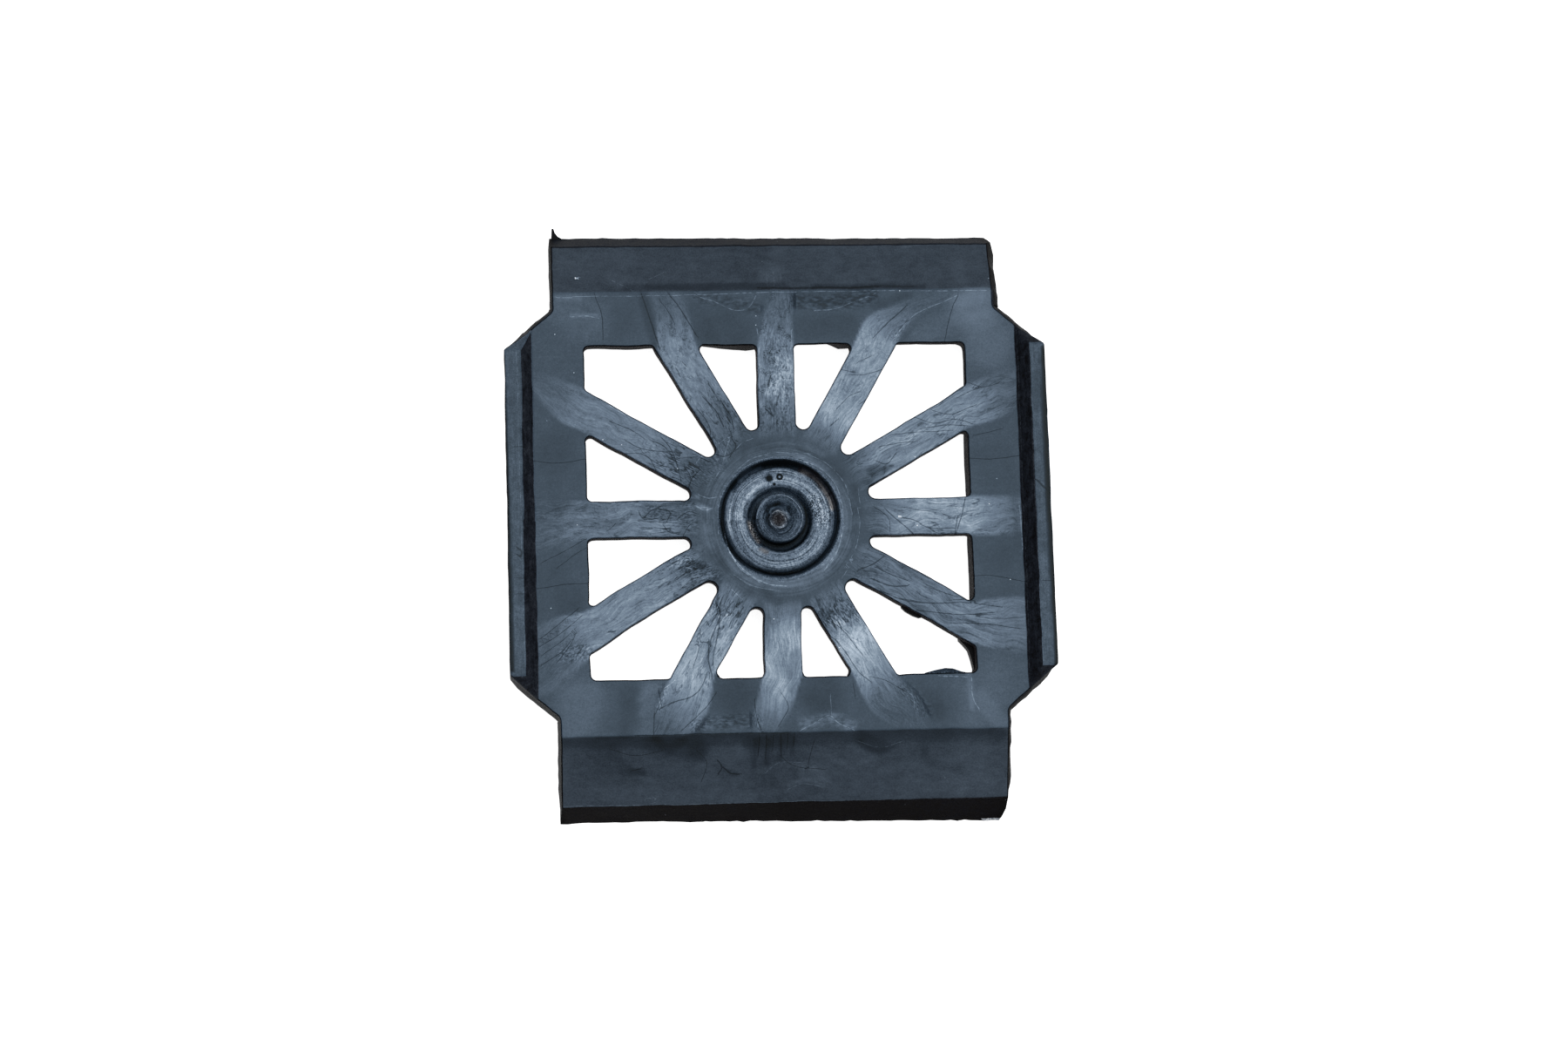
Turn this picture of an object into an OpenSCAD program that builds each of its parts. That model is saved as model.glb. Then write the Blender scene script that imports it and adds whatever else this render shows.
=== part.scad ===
// Moulded rail pad: a square plate with twelve windows round a recessed hub,
// a raised bar along each side and a sloping apron at each end.
// X runs across the pad, +Y points to the far end, and Z is up from the plane
// that the two apron toes stand on. The origin lies under the hub's centre.

/* [Plate] */
// Width of the rail seat, between the feet of the two side bars
seat_w = 151.6; // [146:0.2:160]
// Length of the rail seat, from fold to fold
seat_l = 138; // [134:0.2:146]
// Thickness of the frame round the windows
plate_t = 10; // [8:0.5:13]
// Height of the rail seat above the plane that the pad stands on
seat_h = 17.5; // [15:0.5:21]
// How far the hub lies from the middle of the seat, towards the near end
hub_offset = 2.8; // [0:0.1:5]

/* [Windows and spokes] */
// Width of the window field
field_w = 119.4; // [108:0.2:124]
// Length of the window field
field_l = 104; // [96:0.2:108]
// Number of spokes
spokes = 12; // [10:2:14]
// Width of a spoke
spoke_w = 11.7; // [9:0.1:13]
// Thickness of the spokes, flush with the top of the plate
spoke_t = 5; // [3:0.5:7]
// Fillet in the window corners at the frame
window_r = 1.6; // [0.8:0.1:2]
// Fillet in the window corners at the hub
crotch_r = 2.2; // [1:0.1:2.6]

/* [Hub] */
// Diameter of the thick boss under the hub
hub_d = 52; // [46:0.5:53]
// Diameter of the recess at its rim
recess_d = 37.3; // [34:0.1:40]
// Diameter of the recess at its floor
recess_floor_d = 33.4; // [30:0.1:33.8]
// Depth of the recess floor
recess_depth = 3; // [1.5:0.1:3.6]
// Outer diameter of the groove round the gate boss
groove_d = 21; // [19:0.1:25]
// Outer diameter of the groove at its floor
groove_floor_d = 19; // [17.6:0.1:19]
// Depth of the groove
groove_depth = 5.2; // [4:0.1:6.5]
// Diameter of the gate boss
gate_boss_d = 15; // [11:0.1:17]
// Depth of the gate boss's rim below the seat
gate_boss_depth = 0.8; // [0.2:0.1:1.4]
// Width of the gate boss's rim
gate_rim_w = 0.8; // [0.4:0.1:1.4]
// Depth of the boss's dished face where it meets the torn gate scar
dish_depth = 2.4; // [1.6:0.1:2.8]
// Diameter of the torn gate scar
gate_d = 5.6; // [3:0.1:8]
// Depth of the torn gate scar
gate_depth = 3.4; // [3:0.1:5]

/* [Side bars] */
// Length of a bar's flat top
bar_l = 101; // [90:0.5:110]
// Width of a bar's flat top
bar_top_w = 4.9; // [3:0.1:9]
// Width of the slope between the seat and the bar's top
bar_slope_w = 3.7; // [2:0.1:6]
// Height of a bar above the seat
bar_h = 5.4; // [3:0.1:9]

/* [Aprons] */
// Width of both aprons
apron_w = 138.4; // [130:0.2:142]
// Distance between the two corner cuts, along the apron's side
corner_l = 126.8; // [118:0.2:130]
// Fillet where a corner cut meets an apron's side
corner_r = 2.5; // [0.5:0.1:4]
// Width of the far apron's face, seen from above
far_face_w = 16.1; // [10:0.1:22]
// Width of the near apron's face, seen from above
near_face_w = 21.3; // [12:0.1:26]
// Slope of both faces, in degrees
apron_slope = 18.4; // [8:0.2:21]
// How far a toe reaches out beyond its face
toe_reach = 4.5; // [1:0.1:7]
// Width of the flat that a toe stands on
toe_w = 6; // [3:0.5:9]

/* [Hidden] */

// Sides of a full round
$fn = 96;
// How far a cut runs past the face that it opens
past = 1;
// How far the bars and the aprons reach into the plate
lap = 1;
// How far a fillet's arc crosses the sides that it joins
graze = 0.005;
// Least slant at which a line still leaves through a side
min_slant = 1e-6;

// The hub lies on the origin's axis, so the seat's middle lies beyond it
mid_y = hub_offset;
far_fold_y = mid_y + seat_l / 2;
near_fold_y = mid_y - seat_l / 2;
underside_z = seat_h - plate_t;
bar_out_x = seat_w / 2 + bar_slope_w + bar_top_w;

// A corner cut runs straight from the end of a bar's top to an apron's side,
// so the bar's foot outruns its top by the cut's share of the bar's width
cut_slope = (corner_l - bar_l) / (2 * bar_out_x - apron_w);
bar_foot_l = bar_l + cut_slope * (2 * bar_out_x - seat_w);

// Window outline: where a line from p at angle a leaves the field
function leave(p, a) = p + unit(a) * min(
    [for (side = field_sides()) if (unit(a) * side[0] > min_slant)
        (side[1] - p * side[0]) / (unit(a) * side[0])]);
function unit(a) = [cos(a), sin(a)];
// Each side of the field as its outward normal and its distance from the hub
function field_sides() = [
    [[1, 0], field_w / 2], [[0, 1], mid_y + field_l / 2],
    [[-1, 0], field_w / 2], [[0, -1], field_l / 2 - mid_y]];
function field_corners() = [for (s = [[1, 1], [-1, 1], [-1, -1], [1, -1]])
    [s[0] * field_w / 2, mid_y + s[1] * field_l / 2]];
// Angle of the vector v, counted upwards from the angle a
function turn(v, a) = let (t = atan2(v[1], v[0]) - a) t - 360 * floor(t / 360);
// The crotch where the edges of spoke k and the next one meet
function crotch(k) =
    unit((k + 0.5) * 360 / spokes) * spoke_w / 2 / sin(180 / spokes);
// Corners of the window after spoke k, in order, the crotch first
function window_points(k) = let (p = crotch(k), a = k * 360 / spokes)
    concat([p, leave(p, a)],
        [for (c = field_corners()) if (turn(c - p, a) < 360 / spokes) c],
        [leave(p, a + 360 / spokes)]);

// Centre of a fillet of radius r in corner i of the outline pts
function fillet_centre(pts, i, r) = let (
    u = toward(pts, i, -1), v = toward(pts, i, 1))
    pts[i] + (u + v) / norm(u + v) * r / sin(acos(u * v) / 2);
// Point where that fillet touches the side towards neighbour d
function fillet_touch(pts, i, r, d) = let (
    u = toward(pts, i, d), c = fillet_centre(pts, i, r))
    pts[i] + u * ((c - pts[i]) * u);
// Unit vector from corner i towards neighbour d
function toward(pts, i, d) = let (n = len(pts),
    v = pts[(i + d + n) % n] - pts[i]) v / norm(v);

// Tip of corner i outside its fillet: waste on an outline, filling in a notch.
// It is drawn at twice its size from the centre, so that it covers the corner
module corner_tip(pts, i, r) {
    centre = fillet_centre(pts, i, r);
    difference() {
        polygon([centre, 2 * fillet_touch(pts, i, r, -1) - centre,
            2 * pts[i] - centre, 2 * fillet_touch(pts, i, r, 1) - centre]);
        translate(centre) circle(r + graze);
    }
}

// A convex outline with corner i rounded to radius radii[i]
module rounded(pts, radii) {
    difference() {
        polygon(pts);
        for (i = [0 : len(pts) - 1]) corner_tip(pts, i, radii[i]);
    }
}

// Window between spoke k and the next one, cut right through
module window(k) {
    pts = window_points(k);
    translate([0, 0, -past]) linear_extrude(seat_h + 2 * past)
        rounded(pts, [for (i = [0 : len(pts) - 1]) i == 0 ? crotch_r : window_r]);
}

// Hollow under the spokes, which leaves them thinner than the frame
module spoke_relief() {
    translate([0, 0, underside_z - past])
        linear_extrude(plate_t - spoke_t + past)
            difference() {
                rounded(field_corners(), [for (i = [0 : 3]) window_r]);
                circle(d = hub_d);
            }
}

// Recess with its groove, gate boss and gate scar, turned from a half section
module recess() {
    boss_rim_z = seat_h - gate_boss_depth;
    rotate_extrude()
        polygon([
            [0, seat_h + past],
            [recess_d / 2, seat_h + past],
            [recess_d / 2, seat_h],
            [recess_floor_d / 2, seat_h - recess_depth],
            [groove_d / 2, seat_h - recess_depth],
            [groove_floor_d / 2, seat_h - groove_depth],
            [gate_boss_d / 2, seat_h - groove_depth],
            [gate_boss_d / 2, boss_rim_z],
            [gate_boss_d / 2 - gate_rim_w, boss_rim_z],
            [gate_d / 2, seat_h - dish_depth],
            [gate_d / 2, seat_h - gate_depth],
            [0, seat_h - gate_depth]]);
}

// Quarter of the plate's outline, seen from above, round the seat's middle.
// The notch between its corner cut and the apron's side has a fillet
module plate_quarter() {
    notch = [apron_w / 2, corner_l / 2];
    apron_corner = [apron_w / 2, seat_l / 2];
    polygon([[0, 0], [seat_w / 2, 0], [seat_w / 2, bar_foot_l / 2], notch,
        apron_corner, [0, seat_l / 2]]);
    corner_tip([[bar_out_x, bar_l / 2], notch, apron_corner], 1, corner_r);
}

// The slab that carries the seat, before the windows are cut
module plate() {
    translate([0, mid_y, underside_z]) linear_extrude(plate_t)
        for (mx = [0, 1], my = [0, 1])
            mirror([mx, 0]) mirror([0, my]) plate_quarter();
}

// Side bar on the +X side: the solid that three profiles share, one along
// each axis, so that both ends slope down to the corner cuts
module side_bar() {
    in_x = seat_w / 2;
    top_z = seat_h + bar_h;
    foot_y = bar_foot_l / 2;
    translate([0, mid_y, 0]) intersection() {
        translate([0, foot_y, 0]) rotate([90, 0, 0]) linear_extrude(bar_foot_l)
            polygon([[in_x - lap, underside_z], [in_x - lap, seat_h],
                [in_x, seat_h], [in_x + bar_slope_w, top_z],
                [bar_out_x, top_z], [bar_out_x, underside_z]]);
        rotate([90, 0, 90]) linear_extrude(bar_out_x)
            polygon([[-foot_y, underside_z], [-foot_y, seat_h],
                [-bar_l / 2, top_z], [bar_l / 2, top_z],
                [foot_y, seat_h], [foot_y, underside_z]]);
        linear_extrude(top_z)
            polygon([[in_x - lap, -foot_y], [in_x, -foot_y],
                [bar_out_x, -bar_l / 2], [bar_out_x, bar_l / 2],
                [in_x, foot_y], [in_x - lap, foot_y]]);
    }
}

// Apron profile beyond a fold: sloping face, steep end, toe and hollow back
module apron_profile(face_w) {
    face_z = seat_h - face_w * tan(apron_slope);
    end_y = face_w + toe_reach;
    back_y = plate_t * tan(apron_slope / 2);
    polygon([[-back_y - lap, underside_z], [-back_y - lap, seat_h], [0, seat_h],
        [face_w, face_z], [end_y, 0], [end_y - toe_w, 0], [-back_y, underside_z]]);
}

module apron(face_w) {
    translate([-apron_w / 2, 0, 0]) rotate([90, 0, 90])
        linear_extrude(apron_w) apron_profile(face_w);
}

module aprons() {
    translate([0, far_fold_y, 0]) apron(far_face_w);
    translate([0, near_fold_y, 0]) mirror([0, 1, 0]) apron(near_face_w);
}

module pad() {
    color("#3c464f") difference() {
        union() {
            plate();
            for (side = [0, 1]) mirror([side, 0, 0]) side_bar();
            aprons();
        }
        spoke_relief();
        for (k = [0 : spokes - 1]) window(k);
        recess();
    }
}

pad();
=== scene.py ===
# %% [markdown]
# A moulded rubber rail pad, seen from above on a white ground. It is one
# piece: a square plate with twelve windows round a recessed hub, a raised bar
# along each side and an apron that slopes down at each end. The imported solid
# gives every size. This script makes the piece that is seen: the same solid
# with softened edges, a turned hub, the marks that rubber leaves as it flows
# into a mould, and a skin of black rubber whose dull blue sheen, and the shade
# on faces that turn from the light, are painted into its colour.

# %% Load the imported solid
import math

import bmesh
import bpy
import numpy as np
from mathutils import Matrix, Vector, noise


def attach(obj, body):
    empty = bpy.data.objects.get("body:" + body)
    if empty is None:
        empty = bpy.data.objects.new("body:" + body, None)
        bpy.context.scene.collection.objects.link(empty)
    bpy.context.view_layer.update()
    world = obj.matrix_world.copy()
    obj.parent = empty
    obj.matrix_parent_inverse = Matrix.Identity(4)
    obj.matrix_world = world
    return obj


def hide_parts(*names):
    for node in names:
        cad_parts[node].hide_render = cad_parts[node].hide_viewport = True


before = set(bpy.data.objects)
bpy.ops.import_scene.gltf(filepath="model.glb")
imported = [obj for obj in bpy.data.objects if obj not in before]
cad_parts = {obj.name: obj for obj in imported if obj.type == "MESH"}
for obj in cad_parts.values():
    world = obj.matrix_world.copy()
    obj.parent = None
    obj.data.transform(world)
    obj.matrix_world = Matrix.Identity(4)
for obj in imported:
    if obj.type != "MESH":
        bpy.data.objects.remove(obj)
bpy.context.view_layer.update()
# One mm in the scene's metres, then the solid's own sizes in mm
MM = 0.001
SEAT_Z, MID_Y = 17.5, 2.8
HUB_R = 18.65
BAR_FOOT, BAR_RUN, BAR_H = 75.8, 3.7, 5.4
FAR_FOLD, NEAR_FOLD = 71.8, -66.2
APRON_FALL = math.tan(math.radians(18.4))

# %% [markdown]
# The camera comes first, because marks on the rubber are placed by where the
# photograph shows them. It stands almost straight above the pad, a little to
# the left and the near side, and is rolled by less than two degrees.

# %% Camera
STANDS = Vector((-0.0891, -0.1307, 0.9501))
AIMS_AT = Vector((0.0011, -0.0014, 0.0175))
ROLL = math.radians(-1.74)
FOCAL = 3500.0
FRAME_W, FRAME_H = 1800, 1200
# About how many pixels a millimetre takes
PX = 3.7

back = (STANDS - AIMS_AT).normalized()
level = Vector((0, 1, 0)).cross(back).normalized()
above = back.cross(level)
right = level * math.cos(ROLL) + above * math.sin(ROLL)
turned = Matrix((right, back.cross(right), back)).transposed()

lens = bpy.data.cameras.new("camera")
lens.sensor_width = 36
lens.lens = FOCAL * lens.sensor_width / FRAME_W
lens.clip_start, lens.clip_end = 0.01, 20
camera = bpy.data.objects.new("camera", lens)
bpy.context.scene.collection.objects.link(camera)
camera.matrix_world = Matrix.Translation(STANDS) @ turned.to_4x4()
bpy.context.scene.camera = camera


def surface(x, y):
    """Height in mm of the pad's upper face, with the recess closed."""
    past = max(y - FAR_FOLD, NEAR_FOLD - y, 0)
    rise = min(max(abs(x) - BAR_FOOT, 0) / BAR_RUN, 1)
    return SEAT_Z + BAR_H * rise - APRON_FALL * past


def spot(px, py, height=None):
    """The place in mm that the photograph shows at a pixel, on the upper face
    or at a given height."""
    ray = turned @ Vector(((px - FRAME_W / 2) / FOCAL, (FRAME_H / 2 - py) / FOCAL, -1))
    z = SEAT_Z if height is None else height
    for _ in range(6):
        hit = (STANDS + ray * (z * MM - STANDS.z) / ray.z) / MM
        if height is None:
            z = surface(hit.x, hit.y)
    return np.array((hit.x, hit.y))


def spots(pixels, height=None):
    """The places of a run of pixels that is written x, y, x, y and so on."""
    return [spot(px, py, height) for px, py in zip(pixels[::2], pixels[1::2])]


HUB_PIXEL = (894, 595)
print("lens", lens.lens, "mm; the hub's middle is at", spot(*HUB_PIXEL).round(1))

# %% [markdown]
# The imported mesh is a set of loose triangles. It is never changed: a copy has
# its doubles merged. A few helpers do what a hand would: pick one object, or
# pick edges by a rule.


# %% Helpers for editing
# A place beside the pad that is on no line of symmetry
ASIDE = (0.3137, 0.1731, 0.0571)


def only(obj):
    """Select one object and nothing else."""
    bpy.ops.object.select_all(action="DESELECT")
    obj.select_set(True)
    bpy.context.view_layer.objects.active = obj


def pick(obj, kind, rule=lambda part: True):
    """In edit mode, select the edges or faces that a rule accepts."""
    bpy.ops.object.mode_set(mode="EDIT")
    bpy.ops.mesh.select_mode(type=kind)
    bpy.ops.mesh.select_all(action="DESELECT")
    bm = bmesh.from_edit_mesh(obj.data)
    chosen = [e for e in (bm.edges if kind == "EDGE" else bm.faces) if rule(e)]
    for e in chosen:
        e.select_set(True)
    bmesh.update_edit_mesh(obj.data)
    return len(chosen)


def in_order():
    """In edit mode, number the points, edges and faces by their distance from a
    place at one side, so that the next step meets them in the same order."""
    bpy.context.scene.cursor.location = ASIDE
    bpy.ops.mesh.select_all(action="SELECT")
    bpy.ops.mesh.sort_elements(type="CURSOR_DISTANCE", elements={"VERT", "EDGE", "FACE"})


def report(obj, step):
    """Leave edit mode, then print how many faces a step left and whether the
    skin is closed."""
    bpy.ops.object.mode_set(mode="OBJECT")
    bm = bmesh.new()
    bm.from_mesh(obj.data)
    gaps = sum(1 for e in bm.edges if not e.is_manifold)
    print(f"{step}: {len(bm.faces)} faces, {gaps} open edges, "
          f"{bm.calc_volume() / MM ** 3:.0f} mm3")
    bm.free()


# %% A merged copy of the solid
MERGE = 0.002 * MM

only(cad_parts["pad"])
bpy.ops.object.duplicate()
pad = bpy.context.view_layer.objects.active
pad.name = "pad_moulding"
pad.data.materials.clear()
pick(pad, "FACE")
bpy.ops.mesh.remove_doubles(threshold=MERGE)
report(pad, "merged copy")

# %% [markdown]
# The solid's recess is replaced by one that is turned with more detail, so
# first it is closed with a flat lid.


# %% Lid over the recess
def in_recess(f):
    c = f.calc_center_median() / MM
    return math.hypot(c.x, c.y) < HUB_R and c.z > 10


pick(pad, "FACE", in_recess)
bpy.ops.mesh.delete(type="FACE")
pick(pad, "EDGE", lambda e: not e.is_manifold)
bpy.ops.mesh.edge_face_add()
report(pad, "flat hub")

# %% [markdown]
# The recess is a turned form, so it is made as on a lathe: half its section
# is drawn, spun once round, and taken out of the plate. Its rim is rounded
# over, its wall is a steep cone, and a groove runs round the gate boss, where
# the rubber was let in. The boss is dished down to a torn stump.

# %% Turned recess
SIDES = 192
# Radius and height in mm, from the stump outwards
HALF_SECTION = [
    (0, 14.3), (0.7, 14.3), (1.4, 14.35), (1.9, 14.25), (2.4, 14.2), (2.6, 14.35), (2.75, 14.6),
    (2.9, 14.9), (3.1, 15.2), (3.8, 15.45), (4.6, 15.75), (5.5, 16.05),
    (6.4, 16.35), (6.75, 16.68), (7.1, 16.72), (7.4, 16.5), (7.5, 16.1),
    (7.6, 12.6), (7.9, 12.3), (9.2, 12.3), (9.5, 12.5), (10.3, 14.2), (10.6, 14.45),
    (11.0, 14.52), *((r, 14.52) for r in np.arange(11.4, 15.7, 0.4)), (16.0, 14.55),
    (16.35, 14.5), (16.75, 14.2), (17.0, 14.15), (17.25, 14.4),
    (18.15, 16.9), (18.35, 17.2), (18.65, 17.4), (19.1, 17.48), (19.7, 17.56),
    (19.7, 19.0), (0, 19.0)]
section = bpy.data.meshes.new("recess_section")
section.from_pydata([(r * MM, 0, height * MM) for r, height in HALF_SECTION],
                    [(i, i + 1) for i in range(len(HALF_SECTION) - 1)], [])
cutter = bpy.data.objects.new("recess_cutter", section)
bpy.context.scene.collection.objects.link(cutter)
only(cutter)
pick(cutter, "EDGE")
bpy.ops.mesh.spin(steps=SIDES, angle=math.tau, center=(0, 0, 0), axis=(0, 0, 1))
bpy.ops.mesh.select_all(action="SELECT")
bpy.ops.mesh.remove_doubles(threshold=MERGE)
bpy.ops.mesh.normals_make_consistent(inside=False)
in_order()
report(cutter, "turned cutter")

only(pad)
bpy.ops.object.modifier_add(type="BOOLEAN")
take_out = pad.modifiers[-1]
take_out.operation, take_out.solver, take_out.object = "DIFFERENCE", "EXACT", cutter
bpy.ops.object.modifier_apply(modifier=take_out.name)
bpy.data.objects.remove(cutter)

# %% [markdown]
# Flat faces are then joined. A face can't have a hole in it, so six seams are
# cut first, straight across the hub and through the windows.

# %% Flat faces joined
pick(pad, "EDGE")
in_order()
for degrees in range(15, 180, 30):
    angle = math.radians(degrees)
    bpy.ops.mesh.select_all(action="SELECT")
    bpy.ops.mesh.bisect(plane_co=(0, 0, 0), plane_no=(-math.sin(angle), math.cos(angle), 0))
    bpy.ops.mesh.mark_seam()
bpy.ops.mesh.select_all(action="SELECT")
bpy.ops.mesh.dissolve_limited(angle_limit=math.radians(0.5), delimit={"SEAM"})
bpy.ops.mesh.select_all(action="SELECT")
bpy.ops.mesh.mark_seam(clear=True)
report(pad, "pad with its recess")

# %% [markdown]
# The folds of the aprons are soft creases and get a wide bevel. The mould's
# other edges are tight, and get a narrow one.


# %% Bevels
FOLD_BEVEL, EDGE_BEVEL = 0.5, 0.4
# The hub's flat ring lies inside this radius
RING_R = 21


def is_fold(e):
    a, b = (v.co / MM for v in e.verts)
    at_seat = abs(a.z - SEAT_Z) < 0.01 and abs(b.z - SEAT_Z) < 0.01
    return at_seat and abs(a.y - b.y) < 0.01 and 15 < math.degrees(e.calc_face_angle(0)) < 19


def is_sharp(e):
    middle = (e.verts[0].co + e.verts[1].co) / 2 / MM
    on_outline = middle.z > 12 and math.hypot(middle.x, middle.y) > RING_R
    return on_outline and math.degrees(e.calc_face_angle(0)) > 24


def soften(rule, offset):
    """Bevel the edges that a rule accepts, and return how many there are."""
    count = pick(pad, "EDGE", rule)
    bpy.ops.mesh.bevel(offset=offset * MM, segments=2, affect="EDGES", clamp_overlap=False)
    return count


folds, edges = soften(is_fold, FOLD_BEVEL), soften(is_sharp, EDGE_BEVEL)
in_order()
report(pad, f"bevels on {folds} folds and {edges} edges")

# %% [markdown]
# The plate is now flat faces with few points in them. Fine cuts along X and Y
# give the top a point about every millimetre. The points are used twice: the
# outline can be pushed out of true, as rubber is, and each point can carry
# values that steer the finish. The walls and the underside get wider cuts.

# %% Fine cuts
TOP_STEP = 0.8
WALL_STEP = 2.1
WALL_HEIGHTS = (2.5, 5.0, 10.0, 14.0, 16.2)
# Where the cuts across X and across Y start and end
WALLS_FROM, TOP_FROM, UP_TO = (-84.1, -91.9), (-84.27, -91.87), (84.4, 92.4)


def cut(axis, places, rule):
    """Cut the faces that a rule accepts with planes across an axis. The other
    faces are hidden while that is done."""
    normal = tuple(float(i == axis) for i in range(3))
    bpy.ops.mesh.select_all(action="DESELECT")
    for f in bmesh.from_edit_mesh(pad.data).faces:
        f.select = not rule(f)
    bpy.ops.mesh.hide()
    for at in places:
        bpy.ops.mesh.select_all(action="SELECT")
        bpy.ops.mesh.bisect(plane_co=tuple(at * MM * n for n in normal), plane_no=normal)
    bpy.ops.mesh.reveal(select=False)


def looks_away(f):
    beyond_ring = f.calc_center_median().xy.length > (RING_R + 1) * MM
    return f.normal.z < -0.5 or f.normal.z < 0.5 and beyond_ring


def looks_up(f):
    return f.normal.z > 0.5


bpy.ops.object.mode_set(mode="EDIT")
bpy.ops.mesh.select_mode(type="FACE")
cut(2, WALL_HEIGHTS, looks_away)
for starts, step, rule in ((WALLS_FROM, WALL_STEP, looks_away), (TOP_FROM, TOP_STEP, looks_up)):
    for axis in (0, 1):
        cut(axis, np.arange(starts[axis], UP_TO[axis], step), rule)
report(pad, "fine cuts")

# %% [markdown]
# Rubber that is pressed into a mould runs outwards from the gate along the
# spokes, spreads over the frame in tongues, and meets in weld lines. That is
# the pattern on this pad. Each tongue is drawn here as a path with a width,
# read off the photograph. Every point of the mesh then learns how far along
# its tongue it lies and how far to the side, and the skin's streaks and
# cracks follow those two numbers.

# %% Points of the mesh as numbers
values = np.empty(len(pad.data.vertices) * 3)
pad.data.vertices.foreach_get("co", values)
co = values.reshape(-1, 3) / MM
x, y, z = co.T
off_x, off_y = np.abs(x), np.abs(y - MID_Y)
flat_place = co[:, :2]
hub_distance = np.hypot(x, y)
around = np.arctan2(y, x)
print(len(co), "points")

# %% [markdown]
# A path is given by a few places, and a smooth run through them is worked out,
# as a bent strip of wood would lie. For every point of the mesh the nearest
# place on it is then found. Arrays do that for all the points at once, where a
# loop over them would take minutes.


# %% Helpers for paths
def smooth_path(points, per_span=8):
    """A smooth run of points through the given ones."""
    p = np.array(points, float)
    p = np.vstack([2 * p[0] - p[1], p, 2 * p[-1] - p[-2]])
    t = np.linspace(0, 1, per_span, endpoint=False)[:, None]
    spans = [0.5 * (2 * p[i] + (p[i + 1] - p[i - 1]) * t
                    + (2 * p[i - 1] - 5 * p[i] + 4 * p[i + 1] - p[i + 2]) * t ** 2
                    + (3 * p[i] - p[i - 1] - 3 * p[i + 1] + p[i + 2]) * t ** 3)
             for i in range(1, len(p) - 2)]
    return np.vstack([*spans, p[-2]])


def follow(path, places=flat_place):
    """For each place: mm along the path, mm to its left, and mm away from it.
    Any further columns of the path come back as they are at that point."""
    n = len(places)
    gap = np.full(n, 1e9)
    along, left = np.zeros(n), np.zeros(n)
    extra = np.zeros((n, path.shape[1] - 2))
    done = 0.0
    for a, b in zip(path[:-1], path[1:]):
        step = b[:2] - a[:2]
        length = np.hypot(*step)
        if length < 1e-6:
            continue
        step = step / length
        rel = places - a[:2]
        t = np.clip(rel @ step / length, 0, 1)
        off = rel - np.outer(t * length, step)
        away = np.hypot(off[:, 0], off[:, 1])
        near = away < gap
        gap[near] = away[near]
        along[near] = done + (t * length)[near]
        left[near] = (step[0] * rel[:, 1] - step[1] * rel[:, 0])[near]
        extra[near] = (a[2:] + np.outer(t, b[2:] - a[2:]))[near]
        done += length
    return along, left, gap, extra


def ease(low, high, value):
    """0 below low, 1 above high, and a smooth step between."""
    t = np.clip((value - low) / (high - low), 0, 1)
    return t * t * (3 - 2 * t)


# %% [markdown]
# Each spoke was one stream of rubber, and it left its own tongue on the frame.
# The twelve differ in shape, in sheen and in how cracked they are, so each has
# its own row of values, judged from the photograph.

# %% Tongues of flow
# Each list below has one row for a spoke, from the right one round by the far one
SPOKE_HALF = 5.85
# How far from the hub's middle each spoke ends at the frame
EXITS = (59.7, 68.9, 63.3, 54.8, 63.3, 68.9, 59.7, 68.9, 56.8, 49.2, 56.8, 68.9)
# On the frame, each tongue runs on through these pixels, each with a half width
TONGUES = (
    (1140, 592, 22, 1174, 590, 20), (1134, 458, 25, 1152, 450, 23, 1170, 444, 19),
    (1013, 379, 22, 1032, 364, 15, 1052, 351, 9, 1084, 339, 6), (893, 368, 17, 895, 348, 13, 896, 334, 10),
    (773, 372, 20, 767, 350, 18, 758, 336, 13), (650, 462, 22, 626, 446, 14, 608, 436, 9),
    (645, 600, 24, 614, 604, 29), (652, 738, 31, 620, 758, 38), (789, 800, 26, 778, 820, 25, 766, 842, 17),
    (891, 802, 20, 884, 820, 17, 878, 842, 12), (1017, 796, 24, 1036, 815, 20, 1054, 838, 14),
    (1138, 715, 28, 1180, 716, 31))
# Painted sheen, as lightness added on the way out: three on the spoke, then exit, frame and fold
SHEEN = (
    (10, 54, 70, 60, 34, 14), (8, 56, 54, 48, 22, 8), (24, 78, 66, 68, 26, 8), (14, 42, 66, 40, 18, 6),
    (6, 24, 46, 48, 14, 6), (0, 24, 42, 42, 16, 10), (8, 30, 38, 30, 14, 6), (6, 38, 58, 50, 13, 8),
    (28, 58, 74, 80, 46, 6), (22, 78, 76, 78, 40, 4), (18, 52, 104, 46, 12, 2), (8, 32, 28, 42, 30, 20))
# How streaky, how cracked and how mottled it is near the hub, and then farther out
HABITS = (
    (1.0, 0.2, 0.3, 0.8, 0.6, 0.5), (1.0, 0.5, 0.4, 1.0, 0.5, 0.3), (0.6, 0.3, 0.4, 0.5, 0.3, 0.6),
    (0.7, 0.4, 1.1, 0.6, 0.2, 1.5), (0.5, 0.9, 0.8, 0.4, 0.2, 1.1), (0.7, 1.0, 0.5, 0.7, 0.2, 0.4),
    (0.9, 0.8, 0.7, 0.9, 0.3, 0.7), (0.9, 0.8, 1.1, 0.8, 0.2, 0.5), (0.9, 0.9, 0.8, 0.8, 0.5, 0.4),
    (1.0, 0.2, 0.5, 0.9, 0.1, 0.3), (1.0, 0.7, 1.0, 0.8, 0.3, 0.4), (1.3, 0.35, 0.8, 1.3, 0.25, 0.4))
PLAIN_HABIT = np.array((0.12, 0.0, 0.12))
print(len(TONGUES), "tongues")

# %% [markdown]
# Where two tongues meet, a point belongs to the one that it lies deeper in. It
# takes that tongue's sheen and habits, which fade towards the tongue's edge:
# sharply on the spoke, softly out on the frame.

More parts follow.
